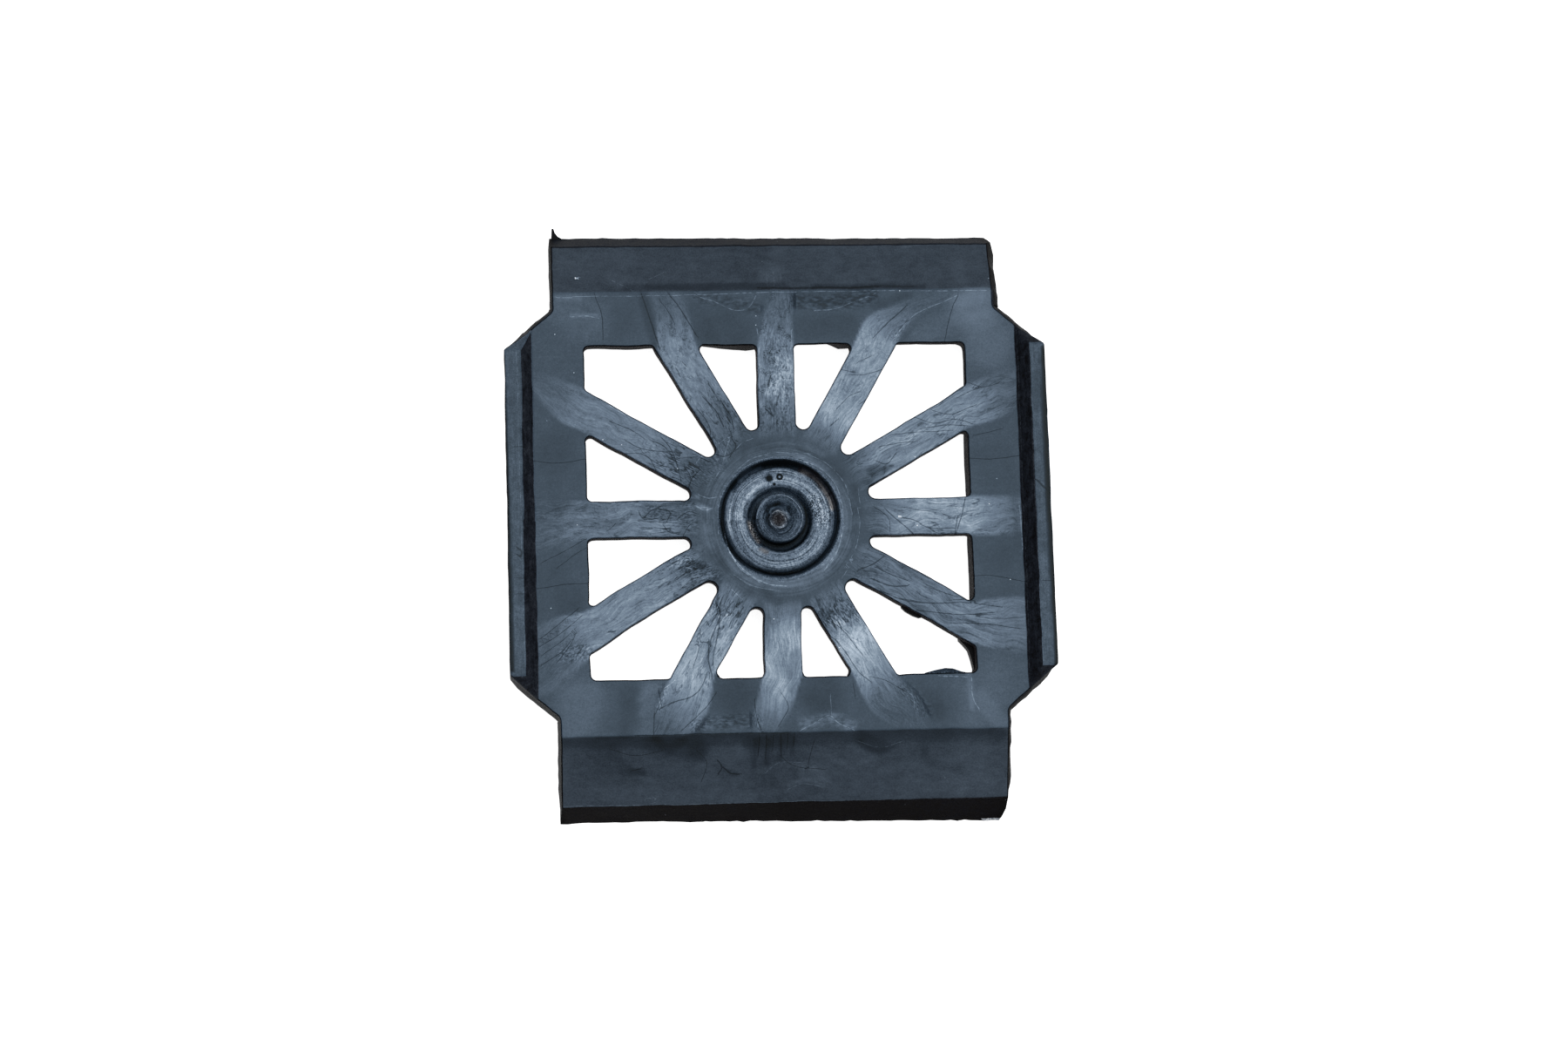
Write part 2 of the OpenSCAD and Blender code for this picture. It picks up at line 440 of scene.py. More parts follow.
# %% Tongues on the points
on_seat = ease(17.0, 17.3, z) * (hub_distance > HUB_R + 0.3)
on_seat = on_seat * (1 - ease(BAR_FOOT - 0.2, BAR_FOOT + 0.2, off_x))
tone, speckle, brown = np.zeros((3, len(co)))
inside = np.full(len(co), -9.0)
flow = np.column_stack([flat_place * 0.5, np.full(len(co), 700.0)])
habit = np.tile(PLAIN_HABIT, (len(co), 1))
for k, frame_part in enumerate(TONGUES):
    way = np.array((math.cos(k * math.pi / 6), math.sin(k * math.pi / 6)))
    path = [(*(way * r), SPOKE_HALF) for r in (20, 32, EXITS[k] - 12, EXITS[k] - 3)]
    path += [(*spot(px, py), half / PX) for px, py, half in np.reshape(frame_part, (-1, 3))]
    along, left, gap, half = follow(smooth_path(path))
    half = half[:, 0]
    depth = half - gap
    exit_at = EXITS[k] - 20
    stations = (9, 16.5, 24.5, exit_at + 1, exit_at + 9, exit_at + 19)
    blur = np.interp(along, (exit_at, exit_at + 16), (0.4, 1.6))
    inner = ease(-blur, blur * 0.8, depth) * on_seat
    better = depth > inside
    tone[better] = (np.interp(along, stations, SHEEN[k]) * inner)[better]
    mine = np.column_stack([along, left / half * SPOKE_HALF, np.full(len(co), k * 40.0)])
    flow[better & (inner > 0)] = mine[better & (inner > 0)]
    fading = (inner * np.interp(along, (3, 10, exit_at + 2, exit_at + 14), (0.4, 1, 1, 0.5)))[:, None]
    outer = ease(14, 30, along)[:, None]
    near_hub, far_out = np.reshape(HABITS[k], (2, 3))
    mine = near_hub * (1 - outer) + far_out * outer
    habit[better] = (mine * fading + PLAIN_HABIT * (1 - fading))[better]
    inside = np.where(better, depth, inside)
print("points inside a tongue:", int((inside > 0).sum()))

# %% [markdown]
# Between the tongues the frame has its own patches: paler corners and darker
# fields of painted sheen, and speckled wedges along the folds where two flows
# met and trapped air. They are strokes of a soft brush, laid on at the height of the surface.


# %% Brush
# A stroke fades between these shares of its half width
FULL_TO, GONE_AT = 0.4, 1.6


def brush(field, where, strokes, height=None):
    """Lay strokes on a field. Each is a half width in pixels, an amount, and
    the pixels of its path."""
    for half, amount, *pixels in strokes:
        path = np.array(spots(pixels, height))
        if len(path) == 1:
            gap = np.hypot(*(flat_place - path[0]).T)
        else:
            gap = follow(smooth_path(path))[2]
        weight = 1 - ease(half / PX * FULL_TO, half / PX * GONE_AT, gap)
        field += amount * weight * where
    print(len(strokes), "strokes")


# %% [markdown]
# The frame's corners are paler and its fields darker, in patches of painted
# sheen. The strokes lie only where no tongue does, since each tongue carries its
# own painted sheen.

# %% Tones of the frame
FRAME_TONES = (
    (26, 7, 648, 352, 676, 366), (2, 16, 655, 363, 686, 362), (6, -12, 738, 342, 745, 368, 753, 394),
    (16, -5, 712, 370), (12, -6, 800, 356, 812, 388), (28, -9, 836, 378),
    (8, -6, 800, 339, 840, 346, 868, 353), (14, -8, 925, 378, 972, 374),
    (9, -15, 912, 343, 955, 345, 1000, 340), (8, -10, 1010, 352, 1040, 342), (25, 22, 1117, 350),
    (30, 14, 1135, 392), (14, 8, 1060, 385, 1085, 372), (8, 10, 1100, 345, 1135, 337), (14, 2, 1140, 430),
    (22, -4, 1145, 640), (20, -4, 1140, 522, 1146, 560), (28, 7, 1150, 770), (30, 7, 1120, 805),
    (3, 16, 1112, 775, 1116, 812), (9, 10, 1125, 800, 1150, 832), (20, -6, 1085, 812),
    (7, 16, 925, 831, 955, 825, 977, 833), (5, 16, 955, 824), (22, -12, 945, 800), (24, -13, 846, 802),
    (8, -2, 808, 832, 870, 830), (26, 15, 668, 805, 660, 830), (14, 10, 747, 797, 741, 838),
    (12, -9, 725, 800, 722, 835), (22, 1, 640, 405), (9, 9, 652, 626), (14, -3, 640, 660),
    (22, -7, 636, 520), (12, -8, 1060, 800, 1075, 815), (3, 12, 640, 342, 665, 342), (18, -8, 655, 690))
brush(tone, (1 - ease(-0.8, 0.6, inside)) * on_seat, FRAME_TONES)

# %% [markdown]
# On the spokes, dull and bright spots lie over the sheen. Most are painted sheen
# and painted shade, where the gloss catches more or less of the light, with a
# painted shadow where the left spoke meets the frame; a few darken cracked places.

# %% Tones of the spokes
SPOKE_TONES = (
    (4.5, -11, 1165, 574, 1167, 610), (6, -13, 899, 764, 905, 772), (7, 7, 892, 786, 897, 797),
    (5, 9, 735, 802, 747, 792, 764, 786), (5, 6, 737, 817, 752, 806), (6, -6, 622, 582, 668, 584),
    (5, -6, 883, 705, 886, 735), (7, -7, 752, 592, 784, 600), (7, -7, 676, 586, 690, 592),
    (4, -7, 886, 420, 888, 470), (4, 8, 900, 410, 896, 450), (14, 14, 962, 724, 985, 752, 1000, 768),
    (8, -38, 952, 722, 946, 708), (10, -22, 958, 697, 980, 703), (6, -34, 914, 752, 911, 790),
    (9, 14, 888, 806, 904, 788), (5, 14, 912, 715, 912, 735), (6, -26, 882, 712, 881, 742),
    (6, -16, 881, 400, 879, 455), (7, -18, 1050, 611, 1106, 610), (7, 12, 1090, 583, 1120, 583),
    (7, 16, 775, 606, 745, 606), (7, -12, 780, 584, 742, 584), (5, -26, 815, 742, 816, 775),
    (6, -14, 825, 712, 828, 700), (6, -34, 1000, 540, 1016, 535), (7, 14, 1036, 505, 1070, 492),
    (8, -14, 858, 470, 862, 486), (7, 24, 890, 436, 886, 450), (8, -16, 889, 472),
    (8, 8, 944, 455, 958, 430), (6, -14, 977, 428), (6, -24, 792, 660, 805, 652),
    (4, 26, 782, 648, 800, 640), (8, 8, 776, 405, 790, 440), (7, -14, 818, 460, 835, 480),
    (9, 6, 745, 508, 775, 525), (6, -12, 1045, 700, 1085, 716), (6, 10, 1040, 672, 1075, 684),
    (9, 8, 1100, 700, 1145, 704))
brush(tone, on_seat, SPOKE_TONES)

# %% [markdown]
# The aprons are plainer: darker and lighter streaks and patches along them, and
# a band of painted shade at each fold, where the surface turns away from the
# light. The band is a formula, because it follows the fold for its whole length.

# %% Tones of the aprons
# The long strokes along the far fold, near pixel row 330, and those along the near fold, near row 850, are
# painted shade in the creases
APRON_TONES = (
    (4, -14, 720, 330, 900, 328), (3, -12, 935, 329, 1060, 329), (7, 6, 700, 318, 735, 331),
    (12, 8, 882, 312, 900, 322), (9, -8, 905, 322), (8, 6, 1098, 300, 1104, 322), (26, -4, 860, 295),
    (14, 4, 650, 300, 720, 295), (40, 2, 980, 300), (7, -9, 650, 853, 1150, 844),
    (13, -14, 750, 852, 800, 858), (10, -10, 800, 864), (4, -7, 716, 888, 738, 886),
    (8, -10, 860, 853, 905, 850), (9, -12, 990, 848, 1010, 858), (22, -4, 1080, 855), (40, -4, 900, 895),
    (24, -5, 880, 875), (10, 6, 925, 880, 940, 890), (24, -2, 760, 885), (30, -7, 700, 870),
    (40, 2, 1090, 900), (34, 5, 1110, 880), (10, 3, 1040, 905, 1150, 900), (8, 3, 680, 910, 860, 915),
    (5, -8, 752, 848, 768, 860, 784, 850), (3, -12, 723, 884, 738, 888), (3, -9, 830, 884, 843, 889),
    (2.5, -9, 868, 850, 865, 880), (2.5, -9, 883, 850, 880, 878), (2.5, -8, 897, 850, 896, 872),
    (2.5, -8, 912, 848, 909, 866), (3, 7, 870, 885, 905, 878, 935, 884),
    (2.5, 8, 905, 902, 925, 895, 945, 902), (3, 6, 950, 868, 978, 878, 1004, 866),
    (4, 4, 1010, 884, 1050, 878), (1.6, 7, 915, 897, 935, 893, 952, 897),
    (3, -9, 988, 852, 1005, 862, 1030, 856), (5, -6, 1060, 858, 1068, 876, 1100, 882),
    (6, -5, 700, 858, 715, 880))
on_apron = (y > FAR_FOLD + 0.3) | (y < NEAR_FOLD - 0.3)
brush(tone, on_apron, APRON_TONES)
# A band of painted shade lies along each fold, on the apron's side: how dark, and its width in mm
for past, dark, width in ((NEAR_FOLD - 0.2 - y, 17, 1.5), (y - FAR_FOLD - 0.2, 7, 0.8)):
    tone -= dark * np.exp(-np.maximum(past, 0) / width) * (past > 0)

# %% [markdown]
# A dark line runs along each bar's top, near its outer edge, as a broad stroke.
# Faces that lie in the pad's own shade are darkened by where they are. Where
# air was trapped the rubber is speckled, and that is laid on as a second field.

# %% Tones of the bars, and speckled places
BAR_TONES = (
    (2.4, -62, 1197.5, 400, 1200.5, 500, 1205, 600, 1210, 700, 1213, 762),
    (2.0, -50, 577, 405, 580.5, 500, 583.5, 600, 586, 700, 588, 770), (5, 8, 1196, 640, 1202, 690),
    (6, 6, 592, 700, 594, 740), (8, -6, 588, 480), (5, -8, 1190, 430, 1192, 470), (6, 10, 1204, 730))
brush(tone, off_x > BAR_FOOT + 2, BAR_TONES)
# The side walls of the aprons and the corner cuts lie in the pad's own shade
tone -= 16 * ((off_x > 68.9) & (off_y > 51) & (z < 16.9))
# The right bar's slope turns away from the light
tone -= 6 * ((x > BAR_FOOT + 0.1) & (x < BAR_FOOT + 3.5) & (z > SEAT_Z))
SPECKLED = (
    (15, 0.8, 893, 398, 897, 480), (7, 0.9, 792, 540, 789, 572, 795, 604), (9, 0.9, 752, 590, 782, 600),
    (10, 0.6, 744, 512, 776, 536), (9, 0.6, 772, 462, 800, 500), (7, 0.9, 800, 341, 840, 347, 868, 354),
    (9, 1.3, 912, 345, 955, 347, 1000, 341), (7, 0.7, 925, 832, 955, 826, 977, 834),
    (8, 1.2, 800, 834, 835, 829, 870, 826), (9, 0.9, 1040, 792, 1062, 815), (9, 1.6, 650, 752, 672, 748),
    (13, 1.6, 945, 708, 980, 700), (12, 1.6, 785, 650, 815, 662), (10, 1.1, 820, 700, 835, 706),
    (5, 1.0, 762, 790, 757, 815), (14, 0.8, 808, 545, 830, 512), (4, 1.2, 1026, 388, 1040, 368))
brush(speckle, on_seat, SPECKLED)

# %% [markdown]
# The hub's ring was formed by a turned part of the mould, so the flow marks give
# way there and its tone follows the distance from the middle, with a ring of
# painted sheen just outside the rim. It is also a little lighter to the left
# and darker to the right. In the recess, bright and dark arcs, brown patches and
# specks are single strokes again, and the bright crescent at the left foot of
# its wall is a painted highlight on a step.

# %% Tones of the hub and the recess
# A ring of painted sheen just outside the rim, brightest at the near right
painted_rim_sheen = np.exp(-((hub_distance - 20.4) / 1.2) ** 2) * (11 + 8 * np.cos(around + 0.9))
hub_tone = 1 - 2 * np.cos(around) - np.sin(around) + painted_rim_sheen
hub_share = (1 - ease(25.0, 28.5, hub_distance)) * on_seat
tone = tone * (1 - hub_share) + hub_tone * hub_share
habit *= (1 - 0.8 * hub_share)[:, None]
HUB_TONES = (
    (11, -9, 842, 500, 862, 512, 884, 517), (16, 3, 815, 530, 822, 550),
    (6, 9, 893, 520, 918, 524, 938, 537), (7, 6, 962, 556, 972, 580, 974, 612, 966, 640),
    (6, 9, 834, 634, 848, 656, 870, 668), (7, 4, 884, 669, 915, 673, 946, 662),
    (3.5, 14, 946, 652, 958, 636), (3, 30, 802, 581, 812, 585), (2, 26, 799, 570, 802, 571),
    (7, 10, 811, 607, 816, 622), (4, 9, 836, 497, 832, 528), (4, 7, 826, 524, 826, 548),
    (6, -12, 878, 680, 893, 692), (4, -9, 806, 556, 804, 576), (6, 9, 840, 676, 848, 690),
    (5, -8, 980, 560, 984, 590), (6, -7, 952, 528, 966, 545), (6, -6, 822, 590, 824, 610),
    (6, -7, 820, 640, 830, 652), (7, -7, 902, 690, 925, 688), (5, 6, 862, 520, 880, 524),
    (6, 5, 930, 512, 950, 520), (5, -6, 852, 690, 862, 680))
brush(tone, on_seat * (1 - ease(26, 31, hub_distance)), HUB_TONES)

# The marks in the recess are placed at the height of its floor
RECESS_Z = 14.5
# The first two strokes are the bright crescent at the wall's left foot, a painted highlight on a step
RECESS_TONES = (
    (2.6, 36, 839, 566, 836, 578, 836, 597), (2, 30, 837, 603, 840, 612),
    (2.4, 26, 848, 552, 858, 543, 872, 538), (3.2, 34, 874, 555, 866, 561, 860, 571),
    (3, 14, 905, 552, 922, 557), (1.6, 34, 952, 571, 956, 584), (2.0, 26, 921, 541, 938, 551, 949, 566),
    (3, -26, 929, 548, 941, 560), (2.5, -24, 884, 541, 878, 551), (2.5, -18, 898, 541, 908, 543),
    (1.6, 34, 862, 602, 865, 612, 871, 621), (1.6, 30, 859, 595, 861, 604),
    (1.6, 26, 873, 583, 876, 577, 881, 574), (1.4, 20, 875, 589, 873, 594),
    (2.4, -24, 880, 587, 884, 581, 893, 578), (2.0, -16, 905, 583, 908, 590),
    (1.3, 50, 884, 590, 885, 585, 893, 583, 901, 585), (1.2, 34, 902, 586, 905, 594),
    (1.4, 34, 886, 602, 893, 606, 900, 604), (2.2, 16, 846, 632, 860, 646, 876, 652),
    (2.6, 18, 935, 636, 945, 622, 951, 606), (3, -14, 925, 625, 934, 611),
    (2, -16, 880, 640, 900, 643, 915, 638), (2, 22, 874, 628, 888, 633))
RECESS_BROWN = (
    (3.0, 0.45, 861, 600, 865, 611, 871, 621), (8, 0.5, 894, 596), (2.5, 0.4, 874, 631, 880, 634),
    (3.2, 0.5, 919, 540, 935, 548, 945, 561, 953, 573, 956, 583))
RECESS_SPECKLED = ((3.5, 1.5, 861, 600, 870, 620), (8, 0.9, 934, 574, 944, 596))
on_recess = (hub_distance < HUB_R + 0.3) & (z > 10)
for field, strokes in ((tone, RECESS_TONES), (brown, RECESS_BROWN), (speckle, RECESS_SPECKLED)):
    brush(field, on_recess, strokes, RECESS_Z)
print("tone from", tone.min().round(1), "to", tone.max().round(1))

# %% [markdown]
# Weld lines, fine cracks and the lines of painted shade in the folds' creases
# are far thinner than the mesh's cells. So what a point carries is its signed
# distance from the nearest line: that runs straight through zero, and the skin
# draws the line where it does.

# %% Dark lines
# Each line is a half width in pixels, and then the pixels that it runs through
# The first line and the three along pixel row 330 are painted shade in the folds' creases
DARK_LINES = (
    (1.1, 730, 844.6, 780, 843.6, 850, 842.4, 905, 841.2), (0.5, 700, 860, 730, 868, 760, 862),
    (0.5, 800, 862, 812, 876, 806, 896), (0.5, 896, 868, 912, 880, 948, 884),
    (1.3, 870, 330.6, 900, 330.2, 950, 329.8, 1010, 329.2), (0.9, 1015, 329, 1050, 328.6),
    (1.0, 874, 331.5, 930, 331, 1000, 330.2), (0.5, 612, 529, 640, 532, 674, 527),
    (0.5, 617, 676, 645, 672, 674, 670), (0.5, 1113, 526, 1140, 527, 1170, 523),
    (0.5, 1112, 662, 1140, 661, 1176, 668), (0.8, 1108, 572, 1104, 590, 1097, 614),
    (0.9, 1099, 593, 1096, 614), (1.0, 736, 338, 745, 365, 758, 402), (0.9, 768, 338, 782, 356, 800, 386),
    (0.6, 757, 345, 766, 356, 775, 372), (0.6, 683, 340, 691, 362, 692, 390),
    (0.6, 1100, 340, 1092, 356, 1084, 392), (0.8, 1004, 386, 1022, 368, 1040, 352),
    (0.7, 718, 505, 732, 513, 747, 517, 770, 519), (0.8, 760, 502, 768, 512, 776, 528, 782, 552),
    (0.6, 750, 506, 763, 513, 773, 526), (0.6, 715, 521, 732, 520, 745, 525, 753, 539),
    (0.5, 738, 521, 755, 532, 768, 536), (0.6, 700, 484, 722, 492, 740, 503), (0.5, 778, 526, 800, 524),
    (0.9, 790, 560, 795, 548, 803, 540), (0.8, 786, 535, 793, 548, 790, 560),
    (0.8, 733, 590, 738, 597, 746, 589, 757, 583), (0.7, 757, 585, 770, 589, 765, 601),
    (0.8, 762, 604, 768, 612, 778, 614), (0.7, 778, 596, 790, 588, 800, 590),
    (0.6, 785, 615, 792, 603, 800, 600), (0.6, 698, 611, 706, 604), (0.45, 622, 646, 648, 633, 672, 620),
    (0.4, 640, 652, 660, 637, 675, 628), (0.5, 621, 742, 645, 726, 668, 708),
    (0.45, 622, 753, 642, 738, 660, 722), (0.6, 622, 764, 645, 748, 655, 736),
    (0.6, 621, 733, 645, 714, 664, 700), (0.5, 640, 760, 655, 740, 660, 728), (1.4, 700, 727, 706, 727),
    (1.2, 822, 692, 828, 706, 823, 722, 815, 742), (1.1, 815, 742, 815, 760, 819, 777),
    (0.9, 828, 708, 826, 728, 821, 748, 820, 765), (0.6, 806, 724, 804, 745, 797, 766),
    (0.9, 812, 775, 806, 790, 795, 800, 775, 806, 758, 814), (0.7, 783, 838, 796, 827, 810, 813, 822, 796),
    (0.9, 800, 741, 812, 738, 818, 742), (0.7, 751, 818, 750, 842), (0.6, 756, 792, 758, 806, 752, 820),
    (0.7, 866, 803, 868, 822, 876, 842), (0.5, 898, 796, 906, 812, 896, 832), (0.5, 980, 786, 982, 800),
    (0.6, 955, 712, 972, 726, 992, 752), (0.7, 953, 728, 968, 742, 985, 768, 1000, 782),
    (0.5, 1000, 776, 1020, 782, 1042, 796), (0.7, 975, 430, 992, 430, 1014, 424),
    (0.5, 966, 424, 984, 428), (0.5, 984, 416, 1000, 409), (0.8, 988, 463, 996, 457),
    (0.8, 954, 488, 961, 482), (0.5, 960, 470, 975, 455, 986, 450),
    (0.6, 1048, 478, 1072, 485, 1095, 481, 1116, 487), (0.6, 1058, 491, 1086, 487, 1110, 489),
    (0.5, 1028, 497, 1060, 495, 1092, 493), (0.6, 1068, 470, 1092, 475, 1120, 465),
    (0.5, 1100, 456, 1122, 446, 1146, 441), (0.6, 1010, 512, 1030, 508, 1050, 506),
    (0.8, 1005, 528, 1018, 532, 1028, 520), (0.5, 1114, 440, 1130, 444, 1146, 440),
    (0.5, 1118, 500, 1150, 492), (1.0, 1016, 584, 1030, 596, 1049, 613),
    (0.8, 1034, 593, 1050, 597, 1066, 605, 1097, 606), (0.6, 1066, 605, 1076, 611, 1090, 613),
    (0.5, 1080, 588, 1093, 594, 1101, 591), (0.6, 1003, 582, 1020, 594, 1022, 610),
    (0.4, 1040, 582, 1060, 586, 1078, 584), (0.9, 1004, 652, 1020, 660, 1042, 668),
    (0.9, 1000, 665, 1020, 674, 1042, 674), (0.8, 1010, 680, 1036, 690, 1062, 694),
    (0.8, 1030, 688, 1070, 694, 1110, 692, 1150, 697), (0.7, 1052, 702, 1095, 706, 1140, 703),
    (0.6, 1092, 716, 1130, 716, 1172, 722), (0.6, 1066, 676, 1090, 684, 1120, 690),
    (0.5, 1112, 706, 1140, 710, 1174, 709), (0.8, 986, 655, 1000, 650, 1012, 642),
    (1.4, 880, 470, 888, 478), (1.0, 886, 412, 891, 416), (1.1, 884, 432, 882, 444),
    (0.9, 894, 455, 892, 466), (1.0, 812, 440, 820, 452), (0.9, 828, 462, 838, 478, 842, 494),
    (0.9, 806, 456, 820, 470, 830, 490), (0.8, 800, 470, 812, 486, 815, 500),
    (0.9, 838, 500, 845, 512, 838, 524), (0.8, 820, 520, 832, 524, 846, 516), (1.0, 776, 424, 780, 432),
    (0.9, 784, 417, 788, 421), (0.6, 591, 513, 604, 514), (0.6, 593, 664, 601, 664),
    (0.6, 594, 682, 602, 682), (1.1, 594, 630, 599, 633, 598, 640, 594, 637), (1.6, 1190, 551, 1200, 561),
    (0.5, 1196, 666, 1212, 667), (0.5, 935, 850, 930, 868, 926, 884), (0.9, 872, 846, 870, 868),
    (0.8, 880, 845, 879, 872), (0.6, 888, 845, 887, 862), (0.8, 897, 844, 897, 866),
    (0.6, 905, 844, 904, 858), (0.6, 912, 844, 911, 856), (0.9, 825, 874, 829, 881, 824, 889),
    (1.1, 829, 880, 838, 888, 849, 889), (0.8, 725, 885, 735, 883))
print(len(DARK_LINES), "dark lines")

# %% [markdown]
# The light lines are scratches, raised lips and the faint arcs round the hub, and
# painted highlights along the far fold, the bars and the ends, where an edge
# catches the light.

# %% Light lines
# The first two, the three long ones down the bars and the three along the ends are painted highlights on
# edges
LIGHT_LINES = (
    (0.6, 634, 341, 700, 340, 780, 339, 900, 335), (0.6, 900, 335, 1020, 334, 1137, 334),
    (0.8, 655, 364, 672, 363, 686, 365), (1.0, 640, 342, 655, 342),
    (0.6, 800, 340, 822, 347, 842, 356, 858, 354, 868, 341),
    (0.7, 935, 356, 958, 355, 982, 346, 1004, 338), (0.8, 1024, 392, 1034, 378, 1052, 360, 1098, 340),
    (0.8, 869, 375, 870, 382), (0.8, 909, 380, 909, 392), (0.4, 868, 398, 870, 410, 870, 470),
    (0.5, 1167, 380, 1171, 480, 1180, 700, 1182, 780), (0.8, 1170, 578, 1172, 600, 1174, 632),
    (0.6, 1111, 505, 1112, 560), (0.6, 1115, 622, 1118, 682), (0.5, 1107, 400, 1107, 445),
    (0.8, 920, 838, 936, 830, 952, 822, 962, 830, 980, 838), (0.5, 953, 800, 955, 822),
    (1.0, 757, 804, 758, 814), (0.9, 764, 790, 776, 781), (0.6, 866, 815, 872, 840),
    (1.2, 1080, 776, 1108, 777), (0.9, 1115, 778, 1117, 800, 1124, 814),
    (0.8, 1042, 796, 1048, 800, 1050, 812), (0.6, 700, 466, 722, 478),
    (0.9, 832, 614, 838, 634, 856, 656, 880, 670, 905, 673), (0.9, 968, 606, 962, 630, 948, 652),
    (0.7, 918, 528, 942, 538, 960, 558, 968, 585), (0.7, 846, 540, 862, 527, 880, 522),
    (0.6, 926, 521, 950, 533, 970, 556, 978, 590), (0.6, 885, 519, 930, 521),
    (0.5, 985, 560, 988, 600, 980, 640, 968, 662), (0.7, 830, 530, 834, 515, 840, 498),
    (0.6, 845, 516, 852, 508, 862, 504), (0.6, 822, 526, 826, 538, 822, 548),
    (0.8, 836, 631, 850, 653, 872, 668), (0.5, 842, 660, 862, 672, 892, 678),
    (0.6, 984, 583, 987, 606, 981, 632, 968, 654), (1.0, 800, 582, 808, 586, 815, 585),
    (1.0, 946, 655, 958, 640, 965, 622), (1.0, 782, 646, 790, 642, 798, 648), (0.8, 786, 654, 796, 656),
    (0.7, 770, 655, 782, 648), (0.7, 800, 530, 808, 522, 822, 520), (0.7, 826, 508, 836, 502, 846, 508),
    (0.8, 803, 568, 812, 572, 822, 571), (0.7, 806, 583, 820, 584), (0.6, 840, 676, 852, 688),
    (0.8, 742, 917, 752, 916, 752, 919), (0.9, 1083, 891, 1086, 896), (1.5, 660, 318, 664, 319),
    (0.5, 985, 851, 1010, 858, 1035, 852), (0.6, 905, 906, 922, 900, 942, 903),
    (0.5, 880, 886, 895, 876, 920, 876), (0.7, 700, 321, 725, 333), (0.6, 746, 320, 760, 314),
    (0.7, 1035, 284, 1045, 283), (0.7, 645, 926, 760, 924, 880, 921),
    (0.5, 634, 282, 800, 281, 960, 280, 1130, 280), (0.6, 880, 921, 1020, 918, 1156, 915),
    (0.5, 880, 318, 881, 328), (0.5, 888, 314, 889, 327), (0.5, 896, 316, 897, 326),
    (0.6, 593, 404, 597, 560, 603, 770), (0.6, 1182, 396, 1187, 540, 1198, 762),
    (1.3, 1031, 593, 1035, 593), (1.2, 955, 582, 957, 586), (0.7, 885, 592, 889, 587, 894, 585, 898, 586),
    (0.7, 898, 588, 902, 592, 904, 598, 903, 602), (0.7, 885, 597, 888, 602, 892, 605),
    (0.9, 895, 605, 899, 604), (0.6, 892, 568, 905, 570, 914, 577, 920, 586, 922, 594, 920, 604))
print(len(LIGHT_LINES), "light lines")


# %% [markdown]
# A mesh can carry named values on its points, and a material can read them. So
# all that was worked out above is handed over, and no image is needed.


# %% Values on the mesh
def signed_gaps(lines):
    """Each point's distance from the nearest line, in half widths, with a sign
    for the side. Three layers share the lines, so that neighbours stay apart."""
    layers = np.full((len(co), 3), 999.0)
    for i, (half, *pixels) in enumerate(lines):
        path = smooth_path(spots(pixels), 5)
        near = ((flat_place > path.min(0) - 3) & (flat_place < path.max(0) + 3)).all(1)
        _, left, gap, _ = follow(path, flat_place[near])
        # The gap grows steeply past 1 mm, so that two lines don't meet
        signed = np.where(left < 0, -1, 1) * gap / half * PX * (1 + 10 * np.maximum(gap - 1, 0))
        layer = layers[near, i % 3]
        layers[near, i % 3] = np.where(np.abs(signed) < np.abs(layer), signed, layer)
    return layers


def carry(name, data):
    """Store one value, or one vector, on each point of the pad."""
    vector = data.ndim == 2
    layer = pad.data.attributes.new(name, "FLOAT_VECTOR" if vector else "FLOAT", "POINT")
    layer.data.foreach_set("vector" if vector else "value",
                           np.ascontiguousarray(data, dtype=np.float32).ravel())


for name, data in {"flow": flow, "tone": tone / 255, "habit": habit, "speckle": speckle,
                   "brown": brown, "dark_lines": signed_gaps(DARK_LINES),
                   "light_lines": signed_gaps(LIGHT_LINES)}.items():
    carry(name, data)
print("attributes:", [a.name for a in pad.data.attributes if a.domain == "POINT"])

# %% [markdown]
# Each face now gets its finish by where it lies. The rubber is black all over,
# so the finishes are lit and shaded copies of it: the faces that the mould
# pressed flat look up to the overhead light and carry a painted grey-blue sheen,
# and steep faces, edges and walls, which turn away from it, are painted darker.
# The walls of the windows are tinged brown.


# %% Which finish each face takes
# The least upward share of a level face's normal, an apron's and a slope's
LEVEL, FALLING, SLOPING = 0.96, 0.93, 0.3
# Beyond these distances in X and Y a wall belongs to the outside
OUTSIDE_X, OUTSIDE_Y = 62, 60
FINISHES = ("seat_skin", "bar_skin", "apron_skin", "edge_skin", "steep_skin", "strip_skin",
            "window_wall", "toe_skin", "wall_skin", "recess_skin", "underside")


def finish_of(c, n):
    """The name of the finish for a face, from its centre in mm and its normal."""
    if math.hypot(c.x, c.y) < HUB_R + 0.9 and c.z > 12 and n.z > -0.5:
        return "recess_skin"
    if n.z < -0.5:
        return "underside"
    if n.z < SLOPING and (abs(c.x) > OUTSIDE_X or abs(c.y) > OUTSIDE_Y):
        return "wall_skin"
    if abs(c.x) > BAR_FOOT and c.z > SEAT_Z + 0.1:
        pale_end = n.z > 0.7 and c.x < 0 < c.y
        return "bar_skin" if n.z > 0.85 or pale_end else "steep_skin"
    if c.z > SEAT_Z - 0.3 and n.z > LEVEL:
        return "seat_skin"
    if n.z > FALLING:
        return "apron_skin"
    if n.z > 0.5 and c.z > SEAT_Z - 0.6:
        return "edge_skin"
    if abs(c.y) < OUTSIDE_Y:
        return "window_wall"
    return "strip_skin" if c.y > 0 else "toe_skin"


